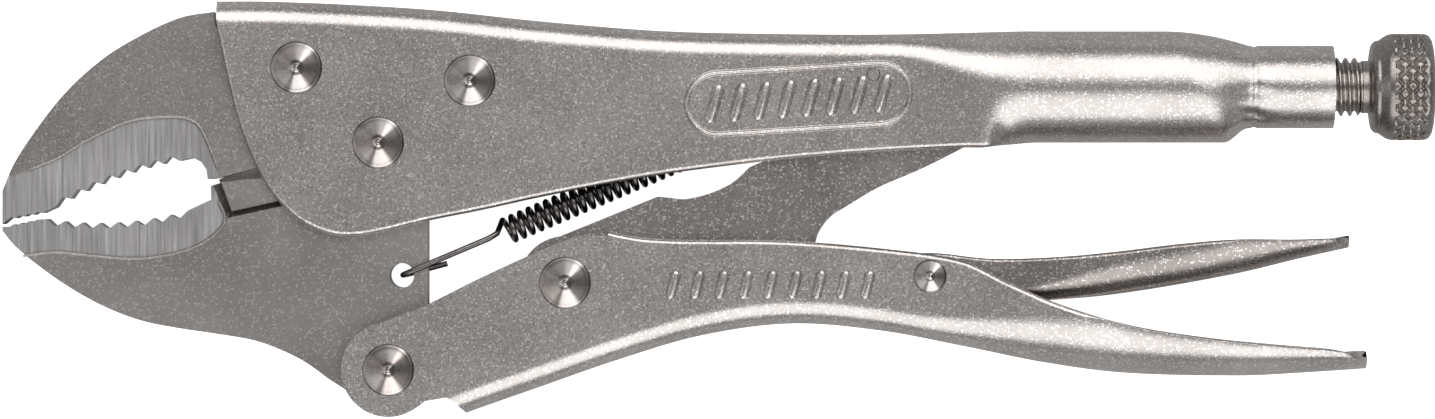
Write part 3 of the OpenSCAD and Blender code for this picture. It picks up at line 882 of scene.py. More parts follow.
@dataclass
class FixedHandle:
    """The fixed handle: a folded cheek channel that swells into a tube with a crimped neck."""

    sheet: float = SHEET
    fold_r: float = 4.0
    cheek_half: float = CHEEK_HALF
    tube_r: float = 9.5
    neck_r: float = 7.05
    screw_y: float = SCREW_Y
    screw_r: float = 5.0
    screw_gap: float = 0.08
    front_x: float = -27.5
    chin_x: float = -19.0
    flare_x: float = 85.6
    mouth_x: float = 102.2
    tube_x: float = 112.1
    neck_x: float = 148.1
    end_x: float = 162.5
    top_shoulder: float = 14.4
    low_shoulder: float = 4.2
    crimps: int = 11
    crimp_depth: float = 0.42
    # Middle and reach of the crimps, and of the ring that the die leaves, from the neck's start.
    crimp_middle: float = 0.6
    crimp_reach: float = 6.0
    crimp_sweep: float = 0.55
    ring_middle: float = 0.9
    ring_reach: float = 0.7
    ring_depth: float = 0.22
    mark: Emboss = Emboss(centre=(71.3, 7.4), length=38.0, height=10.4, tilt=3.6, bars=8, bar_width=2.1,
                          bar_lean=0.35, rise=0.75, border_width=1.1)
    crown_line: Line = Line((
        (-27.5, 24), (-19.6, 24), (-6.0, 23.5), (9.8, 22.5), (26.8, 20.7), (46, 19.1), (60.7, 18.6),
        (85.6, 18.4), (109.1, 19), (112.1, 19)))
    lip_line: Line = Line((
        (-27.5, 20.6), (-26.9, 16.9), (-25.9, 12.2), (-24.5, 6.2), (-23.1, 1.6), (-21.1, -3.4),
        (-19.2, -7.05), (-16.9, -10.1), (-13.5, -13.2), (-9.6, -15.1), (-5.8, -15.9), (-0.7, -15.4),
        (8.2, -13.3), (17.2, -11.5), (28.1, -9.1), (44.4, -6.0), (56.1, -4.3), (69.4, -2.75),
        (83.5, -1.6), (98.8, -0.8), (102.2, -0.8)))

    def shell_radius(self, x: float, turn: float) -> float:
        """Outer radius of the tube and its neck at x.

        Args:
            x: Where along the handle.
            turn: Angle about the screw's axis, 0 at the top; the shoulder is longest there.

        Returns:
            The radius.
        """
        top = (0.5 + 0.5 * math.cos(turn)) ** 0.8
        length = mix(self.low_shoulder, self.top_shoulder, top)
        u = max(0.0, min(1.0, (x - self.neck_x + length) / length))
        return mix(self.tube_r, self.neck_r, mix(ease(u), u ** 1.9, top))

    def flared(self, x: float) -> float:
        """How far the cheeks have swollen into the tube at x, from 0 to 1."""
        return ease((x - self.flare_x) / (self.tube_x - 3 - self.flare_x))

    def half(self, x: float) -> float:
        """Half width at x."""
        return mix(self.cheek_half, self.tube_r, self.flared(x))

    def radius(self, x: float) -> Point:
        """Fold radii at x."""
        swollen = mix(self.fold_r, self.tube_r, self.flared(x))
        radius = min(self.crown(x) - self.lip(x) - 0.1, swollen) if x < self.mouth_x else swollen
        return radius, radius

    def crown(self, x: float) -> float:
        """Height of the fold line at x."""
        return self.crown_line.at(x)

    def lip(self, x: float) -> float:
        """Height of the legs' free edge at x."""
        return self.lip_line.at(x)

    def close(self, x: float) -> float:
        """How far the channel has closed into a tube at x."""
        return ease((x - self.mouth_x - 0.4) / (self.tube_x - self.mouth_x - 0.4))

    def stations(self) -> list[float]:
        """Where the blank's rows fall, closer together where the shape turns quickly."""
        swage_x, past_swage_x = self.neck_x - self.top_shoulder, self.neck_x + 5
        rows = span(self.front_x, self.chin_x, 17)
        for start, end, count in ((self.chin_x, self.flare_x, 60), (self.flare_x, self.tube_x, 34),
                                  (self.tube_x, swage_x, 10), (swage_x, past_swage_x, 60),
                                  (past_swage_x, self.end_x, 12)):
            rows += span(start, end, count)[1:]
        return rows

    def swage(self, section: list[Vector], x: float) -> list[Vector]:
        """Draws the tube down to its neck and gathers the lower side into crimps.

        Args:
            section: The tube's section before it is drawn down.
            x: Where the section lies.

        Returns:
            The drawn section.
        """
        shaped = []
        for point in section:
            from_axis = Vector((0, point.y - self.screw_y, point.z))
            turn = math.atan2(from_axis.z, from_axis.y)
            outer = self.shell_radius(x, turn)
            near = 1 - abs(x - self.neck_x - self.crimp_middle) / self.crimp_reach
            low = ease((math.cos(turn - math.pi) + 0.35) / 0.9)
            swept = self.crimp_sweep * (x - self.neck_x) * math.sin(2 * turn)
            fold = 0.5 + 0.5 * math.cos(self.crimps * turn + swept)
            outer -= self.crimp_depth * ease(near) * low * fold ** 2
            outer -= self.ring_depth * ease(1 - abs(x - self.neck_x - self.ring_middle) / self.ring_reach)
            inside = from_axis.length < self.tube_r - self.sheet * 0.5
            wall = min(self.sheet, outer - self.screw_r - self.screw_gap)
            radius = outer - wall if inside else outer
            shaped.append(Vector((x, self.screw_y, 0)) + from_axis.normalized() * radius)
        return shaped

    def build(self) -> bpy.types.Object:
        """Presses, bores, marks and dresses the handle."""
        channel = Channel(self.sheet, Fold.ABOVE, self.crown, self.lip, self.half, self.radius,
                          self.close)
        rows = [channel.section(x) if x < self.tube_x + 1 else self.swage(channel.section(x), x)
                for x in self.stations()]
        obj = formed("fixed_handle", rows)
        seats(obj, (FRONT_RIVET, REAR_RIVET, JAW_PIVOT))
        drill(obj, ANCHOR, ANCHOR_R, 32)
        joined(obj, *self.mark.build(lambda x, y: self.cheek_half - OVERLAP))
        dress(obj, SATIN_PLATE)
        return finish_piece(obj, Body.FRAME, "plated_handle_steel", "fixed_handle")


# --- moving handle -----------------------------------------------------------------------


@dataclass
class MovingHandle:
    """The moving handle: a channel folded along its lower edge, with two ears at the jaw."""

    sheet: float = SHEET
    fold_r: float = 4.0
    cheek_half: float = CHEEK_HALF
    grip_half: float = 9.4
    grip_r: float = 8.8
    front_x: float = -8.0
    flare_x: float = 98.6
    end_x: float = 168.0
    ear_r: float = 8.0
    lever_rivet_r: float = 1.8
    lever_seat_r: float = 2.85
    mark: Emboss = Emboss(centre=(66.5, -24.2), length=33.0, height=4.6, tilt=0.0, bars=9, bar_width=1.9,
                          bar_lean=0.25, rise=0.6, border=False)
    crown_keys: tuple[Point, ...] = ((-8, -54.5), (15.1, -45.9), (27.3, -41.6), (41.1, -36.8), (54.9, -32.8),
                                     (70.1, -30.8), (85.4, -32), (99.2, -34.6), (113, -37.4), (126.7, -39.2),
                                     (146.6, -39.7), (157.3, -39.2), (168, -38.5))
    lip_keys: tuple[Point, ...] = ((-7.8, -10), (33.4, -14), (45.7, -16.3), (68.6, -16.7), (87, -18.2),
                                   (99.2, -20.1), (106.8, -23.7), (116, -27.6), (128.2, -31.2),
                                   (142, -33.4), (154.2, -34.6), (163.4, -35.4), (168, -36.6))

    def half(self, x: float) -> float:
        """Half width at x, drawn in to a round end."""
        return mix(self.cheek_half, self.grip_half, ease((x - self.flare_x) / 26)) * round_end(x, self.end_x)

    def radius(self, x: float) -> Point:
        """Fold radii at x: tight at the cheeks, wide and round at the grip."""
        grip = ease((x - self.flare_x + 10) / 34)
        room = Line(self.lip_keys).at(x) - Line(self.crown_keys).at(x) - 0.2
        return min(mix(self.fold_r, self.grip_r, grip), room), mix(self.fold_r, self.grip_r, grip)

    def outline(self) -> list[Point]:
        """The ears and the upper edge, wide of the channel where the channel keeps its own edge."""
        upper = smooth([(4, -29.2), (8.3, -27.5), (16.3, -23.5), (24, -19.9), (30.8, -17), (34.5, -15.9),
                        (39, -15.9)], 6)
        clear = [(16, -72), (190, -72), (190, 0), (39, 0)]
        return (arc(HANDLE_PIVOT, self.ear_r, 105, 318, 40) + [(11.6, -43.3), (13.6, -44.8), (15.1, -46.2)]
                + clear + upper[::-1])

    def build(self) -> bpy.types.Object:
        """Presses, trims, bores, marks and dresses the handle."""
        channel = Channel(self.sheet, Fold.BELOW, Line(self.crown_keys).at, Line(self.lip_keys).at,
                          self.half, self.radius)
        rows = span(self.front_x, self.flare_x, 70) + span(self.flare_x, self.end_x, 46)[1:]
        obj = channel.build("moving_handle", rows)
        trim(obj, plate("handle_outline", self.outline(), -FAR, FAR))
        tidy_normals(obj, 0.05)
        seats(obj, (HANDLE_PIVOT, LINK_PIVOT))
        seats(obj, (LEVER_PIVOT,), self.lever_rivet_r, self.lever_seat_r)
        joined(obj, *self.mark.build(lambda x, y: self.cheek_half - OVERLAP))
        dress(obj, SATIN_PLATE)
        return finish_piece(obj, Body.HANDLE, "plated_handle_steel", "moving_handle")


def trim(obj: bpy.types.Object, tool: bpy.types.Object) -> None:
    """Keeps the part of obj that lies inside the tool, and throws the tool away."""
    keep = obj.modifiers.new("keep", "BOOLEAN")
    keep.operation = "INTERSECT"
    keep.solver = "EXACT"
    keep.object = tool
    apply_modifier(obj, "keep")
    bpy.data.objects.remove(tool)


# --- release lever -----------------------------------------------------------------------


@dataclass
class ReleaseLever:
    """The release lever inside the moving handle: a narrow channel that widens to a paddle."""

    sheet: float = 1.6
    nose_half: float = 4.68
    paddle_half: float = 6.3
    fold_r: float = 2.4
    paddle_r: float = 5.6
    bore_r: float = 1.86
    nose_x: float = 80.0
    end_x: float = 165.1
    crown_keys: tuple[Point, ...] = ((80, -23.4), (86, -25.4), (93.6, -26.9), (104.3, -27.6), (114.3, -26.8),
                                     (122.9, -26.1), (132.9, -24.7), (146.5, -22.2), (156.5, -19.8),
                                     (165.1, -17.9))
    lip_keys: tuple[Point, ...] = ((80, -20.8), (86, -19.8), (93.6, -18.8), (104.3, -19.8), (115.8, -19.5),
                                   (125.8, -18.6), (136.5, -17.3), (146.5, -16.5), (156.5, -16.5),
                                   (165.1, -16.2))

    def half(self, x: float) -> float:
        """Half width at x, drawn in to a round end."""
        widened = ease((x - LEVER_PIVOT[0] - 10) / 22)
        return mix(self.nose_half, self.paddle_half, widened) * round_end(x, self.end_x)

    def radius(self, x: float) -> Point:
        """Fold radii at x."""
        wide = mix(self.fold_r, self.paddle_r, ease((x - LEVER_PIVOT[0] - 12) / 25))
        return min(wide, Line(self.lip_keys).at(x) - Line(self.crown_keys).at(x) - 0.1), wide

    def build(self) -> bpy.types.Object:
        """Presses, bores and dresses the lever."""
        channel = Channel(self.sheet, Fold.BELOW, Line(self.crown_keys).at, Line(self.lip_keys).at,
                          self.half, self.radius)
        obj = channel.build("release_lever", span(self.nose_x, self.end_x, 72))
        drill(obj, LEVER_PIVOT, self.bore_r, 48)
        dress(obj, LINK_PLATE)
        return finish_piece(obj, Body.LEVER, "plated_link_steel", "release_lever")


# --- jaws --------------------------------------------------------------------------------


@dataclass
class Jaws:
    """The two forged jaws, with ground faces beside the teeth and the wire cutter's hub."""

    half: float = 4.9
    slim: float = SLIM_HALF
    root_x: float = -28.0
    tip_x: float = -64.0
    teeth: int = 9
    tooth_depth: float = 1.0
    grind: float = 0.4
    hub_r: float = 8.7
    hub_gap: float = 0.4
    rear_boss_r: float = 6.5
    ear_r: float = 7.4
    hook_hole_r: float = 2.1
    groove_depth: float = 1.6
    blade_half: float = 1.6
    back_round: float = 1.1
    edge_round: float = 0.16
    burr_width: float = 0.55
    burr_rise: float = 0.16

    def reach(self, keys: Sequence[Point]) -> list[Point]:
        """Keys given as a share of the way from the jaw's root to its tip, as lengths."""
        return along(self.root_x, self.tip_x, keys)

    def coarse(self, start: Point, end: Point, sag: float, side: float) -> list[Point]:
        """A row of coarse teeth along a shallow arc.

        Args:
            start: The first tooth's root.
            end: The last tooth's root.
            sag: How far the arc bows at its middle.
            side: 1 for notches cut upwards, -1 for downwards.

        Returns:
            The row's points.
        """
        row: list[Point] = []
        pitch = 1 / (self.teeth - 1)
        for i in range(self.teeth):
            for u, depth in ((i * pitch, 0.0), ((i + 0.42) * pitch, 0.86), ((i + 0.58) * pitch, 1.0)):
                if u <= 1:
                    x, y = mix(start[0], end[0], u), mix(start[1], end[1], u)
                    row.append((x, y + 4 * sag * u * (1 - u) + side * depth * self.tooth_depth))
        return row

    def fine(self, start: Point, end: Point, side: float) -> list[Point]:
        """Four fine teeth at the jaw's tip."""
        row: list[Point] = []
        for i in range(4):
            for u, depth in ((i / 3, 0.0), ((i + 0.5) / 3, 0.35)):
                row.append((mix(start[0], end[0], u), mix(start[1], end[1], u) + side * depth))
        return row

    def upper_outline(self) -> tuple[list[Point], int]:
        """The fixed jaw's outline and how many of its points run along the back."""
        back = smooth(self.reach([(1, -8.2), (0.92, -2.1), (0.73, 7.3), (0.54, 13.8), (0.35, 18.1),
                                  (0.16, 21.2), (0, 22.2)]), 6)
        rest = [(-27.7, 19.6), (-18, 19.2), (0, 18.3)] + arc(REAR_RIVET, self.rear_boss_r, 75, -95, 16)
        rest += arc(JAW_PIVOT, self.hub_r + self.hub_gap, 22, 205, 30)
        rest += [(-20.6, -4.3), (-26.8, -5.9), (-28.6, -6.2), (-29.1, -6.2), (-29.3, -4.6), (-30.2, -3.3),
                 (-31.6, -2.6)]
        rest += self.coarse((-34, -3.1), (mix(self.root_x, self.tip_x, 0.75), -11), 1, 1)
        rest += self.fine((-57.2, -12), (-61.8, -12.9), 1) + [(self.tip_x, -13.9)]
        return back + rest, len(back)

    def lower_outline(self) -> tuple[list[Point], int]:
        """The moving jaw's outline and how many of its points run along the back."""
        back = smooth(self.reach([(1, -15), (0.92, -18.3), (0.73, -23.5), (0.54, -27.5), (0.35, -30.2),
                                  (0.16, -31.6)])
                      + [(-27, -32.6), (-20.2, -33.9), (-13.4, -36.8), (-8.5, -40.2)], 6)
        rest = arc(HANDLE_PIVOT, self.ear_r, 215, 333, 20) + [(8.3, HANDLE_PIVOT[1] + 8)]
        rest += arc(JAW_PIVOT, self.hub_r, -17.5, 215, 40)
        rest += [(-20.2, -6.1), (-26.5, -6.7), (-28.6, -7.4), (-28.5, -9.7)]
        rest += self.coarse((-32.4, -11.5), (mix(self.root_x, self.tip_x, 0.79), -13), -1.3, -1)
        rest += self.fine((-58.2, -13.1), (-62.2, -13.9), -1) + [(self.tip_x, -14.3)]
        return back + rest, len(back)

    def upper_ground(self) -> list[Point]:
        """The ground area of the fixed jaw."""
        edge = smooth(self.reach([(0.93, -5.3), (0.75, -2.8), (0.62, 0), (0.42, 3.4), (0.26, 4.3), (0.12, 4),
                                  (0.05, 1.5), (-0.03, -5.6)]), 6)
        return [(-70, -7)] + edge + [(-28.2, -20), (-70, -20)]

    def lower_ground(self) -> list[Point]:
        """The ground area of the moving jaw."""
        edge = smooth(self.reach([(0.92, -19.4), (0.75, -18.7), (0.6, -19.2), (0.38, -19.8), (0.2, -19),
                                  (0.05, -17), (-0.05, -13.5), (-0.02, -10)]), 6)
        return [(-70, -19.4)] + edge + [(-27.2, 0), (-70, 0)]

    def forge(self, name: str, outline: list[Point], back: int, ground: list[Point], half: float,
              bores: Sequence[tuple[Point, float]],
              grooves: Sequence[Sequence[Point]] = ()) -> bpy.types.Object:
        """Makes one jaw.

        Args:
            name: The piece's name.
            outline: The jaw's outline, the back first.
            back: How many points of the outline are the back.
            ground: Outline of the ground area.
            half: Half thickness.
            bores: Centre and radius of each bore.
            grooves: Sloping grooves beside the wire cutter.

        Returns:
            The jaw.
        """
        obj = plate(name, outline, -half, half)
        edge = {(round(x, 3), round(y, 3)) for x, y in outline[:back]}
        round_edges(obj, self.back_round, 4, lambda a, b: abs(a.z - b.z) < 0.01 and all(
            (round(v.x, 3), round(v.y, 3)) in edge for v in (a, b)))
        for side in (1, -1):
            low, high = sorted((side * (half - self.grind), side * FAR))
            carve(obj, plate("grinder", ground, low, high))
        for centre, radius in bores:
            drill(obj, centre, radius)
        for groove in grooves:
            for side in (1, -1):
                carve(obj, self.slope_tool(groove, side, half, self.groove_depth))
        soften(obj, self.edge_round)
        burr = [(x, y) for x, y in ground if x > self.tip_x + 3.4 and -19.9 < y < 8][:-1]
        self.grind_faces(obj, half)
        rims = [bead(evenly(burr, 0.8), self.burr_width, side * self.burr_rise,
                     lambda x, y, z=side * (half - OVERLAP): z) for side in (1, -1)]
        for rim in rims:
            rim.data.materials.append(finish(FORGED_PLATE))
        return joined(obj, *rims)

    @staticmethod
    def slope_tool(groove: Sequence[Point], side: int, half: float, depth: float) -> bpy.types.Object:
        """A wedge that sinks from a groove's outer edge to its inner edge.

        Args:
            groove: Four points: the outer edge, then the inner edge running back.
            side: 1 for the face towards +Z, -1 for the other.
            half: Half thickness of the jaw.
            depth: Depth of the groove at its inner edge.

        Returns:
            The tool.
        """
        a, b, c, d = groove
        land = 0.12
        deep = [(mix(d[0], a[0], land), mix(d[1], a[1], land)),
                (mix(c[0], b[0], land), mix(c[1], b[1], land)), c, d]
        surface, floor = side * (half + OVERLAP), side * (half - depth)
        if side > 0:
            return loft("groove_tool", deep, groove, floor, surface)
        return loft("groove_tool", list(groove), deep, surface, floor)

    def grind_faces(self, obj: bpy.types.Object, half: float) -> None:
        """Gives the sunk faces beside the teeth the ground finish and the rest the forged one."""
        dress(obj, FORGED_PLATE, GROUND_STEEL)
        for polygon in obj.data.polygons:
            level = abs(abs(polygon.center.z) - (half - self.grind)) < 0.03
            polygon.material_index = 1 if level and abs(polygon.normal.z) > 0.99 else 0

    def build_fixed(self) -> bpy.types.Object:
        """The fixed jaw."""
        outline, back = self.upper_outline()
        obj = self.forge("fixed_jaw", outline, back, self.upper_ground(), self.half,
                         [(FRONT_RIVET, RIVET_R), (REAR_RIVET, RIVET_R)])
        return finish_piece(obj, Body.FRAME, "forged_jaw_steel", "fixed_jaw", smooth_angle=32)

    def build_moving(self) -> bpy.types.Object:
        """The moving jaw."""
        outline, back = self.lower_outline()
        obj = self.forge("moving_jaw", outline, back, self.lower_ground(), self.slim,
                         [(JAW_PIVOT, RUNNING_BORE_R), (HANDLE_PIVOT, RUNNING_BORE_R),
                          (HOOK_HOLE, self.hook_hole_r)],
                         [((-28.7, -7.3), (-26.3, -12.9), (-24.9, -11.7), (-26.7, -6.6)),
                          ((-25.9, -12.9), (-14, -10.3), (-14, -9.1), (-25.0, -11.6))])
        blade = plate("blade", [(-27, -7.1), (-18, -6.6), (-18, -3.9), (-20.6, -4.42), (-26.8, -6.02),
                                (-27.4, -6.3)], -self.blade_half, self.blade_half)
        blade.data.materials.append(finish(FORGED_PLATE))
        joined(obj, blade)
        return finish_piece(obj, Body.JAW, "forged_jaw_steel", "moving_jaw", smooth_angle=32)


# --- toggle link -------------------------------------------------------------------------


@dataclass
class ToggleLink:
    """The over-centre link: folded sheet whose fold runs along its lower right edge."""

    half: float = SLIM_HALF
    sheet: float = 2.0
    nose_half: float = 3.4
    ear_r: float = 7.9
    nose: Point = (105.6, 8.1)
    nose_r: float = 4.0
    fold_round: float = 2.2
    edge_round: float = 0.35
    # Middle and size of the block that thins the nose on each side.
    nose_cut: Point = (117.0, 10.0)
    nose_cut_size: Point = (40.0, 60.0)

    def outline(self) -> list[Point]:
        """The link's outline."""
        lower = smooth([(74.2, -17), (74.9, -15), (76.8, -12.6), (79.6, -10.8), (85, -7.6), (92.2, -4.5),
                        (99.4, -0.9)], 6)
        upper = smooth([(47.4, -9.2), (49.5, -9.4), (52.2, -9.6), (56.1, -8.7), (60, -6.9), (63, -4.2)], 6)
        return (arc(LINK_PIVOT, self.ear_r, 97, 285, 30) + [(48, -28), (66, -23), (73, -19.5)] + lower
                + arc(self.nose, self.nose_r, -45, 120, 14) + [(86.4, 5.8)] + upper[::-1])

    def hollow(self) -> list[Point]:
        """The space between the link's two cheeks."""
        lower = smooth([(72.2, -16.5), (73, -14.2), (75.2, -11.2), (78.4, -9), (84, -5.8), (91.1, -2.6),
                        (97.4, 0.8)], 6)
        return (arc(LINK_PIVOT, self.ear_r - self.sheet, 160, 285, 16)
                + [(47.5, -25.9), (65, -21.1), (71, -18.1)] + lower + [(95, 12), (40, 12), (19.7, 0)])

    def build(self) -> bpy.types.Object:
        """Folds, bores and dresses the link."""
        outline = self.outline()
        obj = plate("toggle_link", outline, -self.half, self.half)
        folded = {(round(x, 3), round(y, 3)) for x, y in outline
                  if x > 40 and y < -0.5 and not (x < 64 and y > -12)}
        round_edges(obj, self.fold_round, 6, lambda a, b: abs(a.z - b.z) < 0.01 and all(
            (round(v.x, 3), round(v.y, 3)) in folded for v in (a, b)))
        soften(obj, self.edge_round, 3, 60)
        inner = self.half - self.sheet
        carve(obj, plate("link_space", self.hollow(), -inner, inner))
        for side in (1, -1):
            bpy.ops.object.select_all(action="DESELECT")
            middle = (*self.nose_cut, side * (self.nose_half + FAR / 2))
            bpy.ops.mesh.primitive_cube_add(size=1, location=middle, scale=(*self.nose_cut_size, FAR))
            carve(obj, take_new("nose_cutter"))
        drill(obj, LINK_PIVOT, RUNNING_BORE_R)
        dress(obj, LINK_PLATE)
        return finish_piece(obj, Body.LINK, "plated_link_steel", "toggle_link")


# --- spring ------------------------------------------------------------------------------


@dataclass
class Spring:
    """The opening spring between the moving jaw and a pin in the fixed handle."""

    hook: Vector = field(default_factory=lambda: Vector(HOOK_HOLE))
    pin: Vector = field(default_factory=lambda: Vector(ANCHOR))
    wire_d: float = 1.0
    coil_d: float = 5.0
    pitch: float = 1.6
    turns: int = 26
    start: float = 19.3
    face_z: float = 5.43
    loop_r: float = 1.8
    keep: float = 0.927
    turn_steps: int = 20
    wire_sides: int = 10

    def at(self, along_mm: float, side: float, z: float) -> Vector:
        """A place given along the spring, across it and up."""
        run = (self.pin - self.hook).normalized()
        flat = self.hook + run * along_mm + Vector((-run.y, run.x)) * side
        return Vector((flat.x, flat.y, z))

    def path(self) -> list[Vector]:
        """The wire's centre line, from its short free end to the hook on the pin."""
        z, r = self.face_z, (self.coil_d - self.wire_d) / 2
        ends = [(7.6, -1.1, -z), (5.6, -0.8, -z), (3.4, -0.5, -z), (1.6, -0.25, -z + 0.1),
                (0.5, -0.1, -z + 0.6), (0.2, 0, -z + 1.6), (0.2, 0, z - 1.6), (0.5, 0, z - 0.6),
                (1.4, 0, z - 0.1), (2.6, 0, z), (5.4, 0, z), (self.start - 3.2, 0.0, z * 0.8),
                (self.start - 1.6, 0.12 * r, 0.72 * z), (self.start - 0.7, 0.6 * r, 1.1 * r)]
        found = [self.at(*end) for end in ends]
        for i in range(self.turns * self.turn_steps + 1):
            turn = 2 * math.pi * i / self.turn_steps + math.pi / 2
            run = self.start + self.pitch * i / self.turn_steps
            found.append(self.at(run, r * math.sin(turn), r * math.cos(turn)))
        last = self.start + self.turns * self.pitch
        reach = (self.pin - self.hook).length
        found += [self.at(last + 1.4, 0.6 * r, 0.2), self.at(last + 3.2, 0.2 * r, 0.1)]
        for i in range(14):
            turn = math.radians(200 - 22 * i)
            found.append(self.at(reach + self.loop_r * math.cos(turn), self.loop_r * math.sin(turn),
                                 0.07 * i - 0.5))
        return found

    def build(self) -> bpy.types.Object:
        """Winds the wire and dresses it."""
        path = self.path()
        rings, normal = [], Vector((0.1, 0.2, 0.97))
        for i, centre in enumerate(path):
            run = (path[min(i + 1, len(path) - 1)] - path[max(0, i - 1)]).normalized()
            normal = (normal - run * normal.dot(run)).normalized()
            other = run.cross(normal)
            rings.append([centre + (normal * math.cos(a) + other * math.sin(a)) * self.wire_d / 2
                          for a in (2 * math.pi * k / self.wire_sides for k in range(self.wire_sides))])
        obj = formed("tension_spring", rings)
        obj.data.materials.append(finish(SPRING_WIRE))
        finish_piece(obj, Body.FRAME, "spring_steel", "tension_spring", smooth_angle=60)
        run = (self.pin - self.hook).normalized()
        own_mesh(obj)
        return obj


# --- adjusting screw and knob ------------------------------------------------------------


@dataclass
class Adjuster:
    """The adjusting screw and its knurled knob, turned about the tube's axis."""

    axis_y: float = SCREW_Y
    screw_r: float = 5.0
    pitch: float = 1.5
    thread_depth: float = 0.85
    tip_x: float = 113.2
    knob_x: float = 167.4
    end_x: float = 179.4
    knob_r: float = 9.1
    spigot_r: float = 3.0
    knurl_pitch: float = 2.6
    knurl_depth: float = 0.55
    # Bare collar before the knurl, and bare rim after it.
    knurl_start: float = 4.6
    knurl_stop: float = 1.2

    def lay(self, obj: bpy.types.Object) -> None:
        """Turns a piece built about Z so that it lies about the tube's axis."""
        obj.data.transform(Matrix.Translation((0, self.axis_y, 0)) @ Matrix.Rotation(math.pi / 2, 4, "Y"))

    def thread_radius(self, x: float, turn: float) -> float:
        """Radius of the rolled thread at a place and an angle."""
        phase = (x / self.pitch - turn / (2 * math.pi)) % 1
        rise = abs(2 * phase - 1)
        depth = self.thread_depth * ease(min(1, max(0, (rise - 0.12) / 0.76)))
        runout = ease((x - self.tip_x) / 3) * ease((self.knob_x - 0.1 - x) / 0.7)
        return self.screw_r - mix(self.thread_depth * 0.8, depth, runout)

    def build_screw(self) -> bpy.types.Object:
        """The screw, with a true helical thread over its visible end."""
        around = 48
        coarse_end = 158.0
        rows = span(self.tip_x + 0.8, coarse_end, 24) + span(coarse_end, self.knob_x - 0.1, 88)[1:]
        sections = []
        for x in rows:
            sections.append([Vector((r * math.cos(t), r * math.sin(t), x)) for t, r in (
                (t, self.thread_radius(x, t) if x > coarse_end else self.screw_r - self.thread_depth * 0.9)
                for t in (2 * math.pi * k / around for k in range(around)))])
        sections.insert(0, [Vector((p.x * 0.7, p.y * 0.7, self.tip_x)) for p in sections[0]])
        for radius, x in ((self.spigot_r, self.knob_x - 0.1), (self.spigot_r, self.end_x - 1.2)):
            sections.append([Vector((radius * math.cos(t), radius * math.sin(t), x))
                             for t in (2 * math.pi * k / around for k in range(around))])
        obj = formed("adjusting_screw", sections)
        self.lay(obj)
        obj.data.materials.append(finish(ROLLED_THREAD))
        return finish_piece(obj, Body.SCREW, "screw_steel", "adjusting_screw")

    def knurl(self, x: float, turn: float) -> float:
        """Depth of the diamond knurl at a place and an angle, from 0 on a crest."""
        count = round(2 * math.pi * self.knob_r / self.knurl_pitch)
        lead = count / (2 * math.pi * self.knob_r) * x * 2 * math.pi
        first = abs(math.sin((turn * count + lead) / 2))
        second = abs(math.sin((turn * count - lead) / 2))
        fade = ease(x - self.knob_x - self.knurl_start) * ease((self.end_x - self.knurl_stop - x) / 0.8)
        return self.knurl_depth * fade * (1 - min(first, second) * 1.3)

    def build_knob(self) -> bpy.types.Object:
        """The knob: smooth collar and shoulder, then a diamond knurl."""
        around = 360
        shape = smooth([(0.0, 4.5), (1.0, 4.5), (1.25, 5.0), (1.4, 6.2), (1.6, 7.2), (2.1, 7.75), (2.5, 7.9),
                        (2.8, 7.95), (3.4, 8.35), (4.2, 8.85), (5.1, 9.09)], 3)
        profile = [(self.knob_x + x, r) for x, r in shape]
        profile += [(x, self.knob_r) for x in span(self.knob_x + 5.2, self.end_x - 1.5, 44)]
        profile += [(self.end_x - 1.1, 9.0), (self.end_x - 0.6, 8.7), (self.end_x - 0.2, 8.1),
                    (self.end_x, 7.3), (self.end_x, 3.4)]
        sections = []
        for x, r in [(self.knob_x, self.spigot_r + 0.06)] + profile + [
                (self.end_x - 1.0, 3.2), (self.end_x - 1.0, self.spigot_r + 0.06)]:
            ring = []
            for k in range(around):
                turn = 2 * math.pi * k / around
                depth = max(0.0, self.knurl(x, turn)) if r == self.knob_r else 0.0
                ring.append(Vector(((r - depth) * math.cos(turn), (r - depth) * math.sin(turn), x)))
            sections.append(ring)
        obj = formed("adjusting_knob", sections + sections[:1], closed_ends=False)
        self.lay(obj)
        obj.data.materials.append(finish(KNURLED_STEEL))
        return finish_piece(obj, Body.KNOB, "screw_steel", "adjusting_knob", smooth_angle=50)


# --- studio ------------------------------------------------------------------------------


@dataclass(frozen=True)
class SoftBox:
    """A rectangular softbox; sizes and places in metres."""

    name: str
    place: tuple[float, float, float]
    aim: tuple[float, float, float]
    size: tuple[float, float]
    watts: float

    def hang(self) -> None:
        """Adds the light, unseen by the camera."""
        light = bpy.data.lights.new(self.name, "AREA")
        light.shape = "RECTANGLE"
        light.size, light.size_y = self.size
        light.energy = self.watts
        lamp = bpy.data.objects.new(self.name, light)
        bpy.context.scene.collection.objects.link(lamp)
        lamp.location = self.place
        lamp.rotation_euler = (Vector(self.aim) - Vector(self.place)).to_track_quat("-Z", "Y").to_euler()
        lamp.visible_camera = False


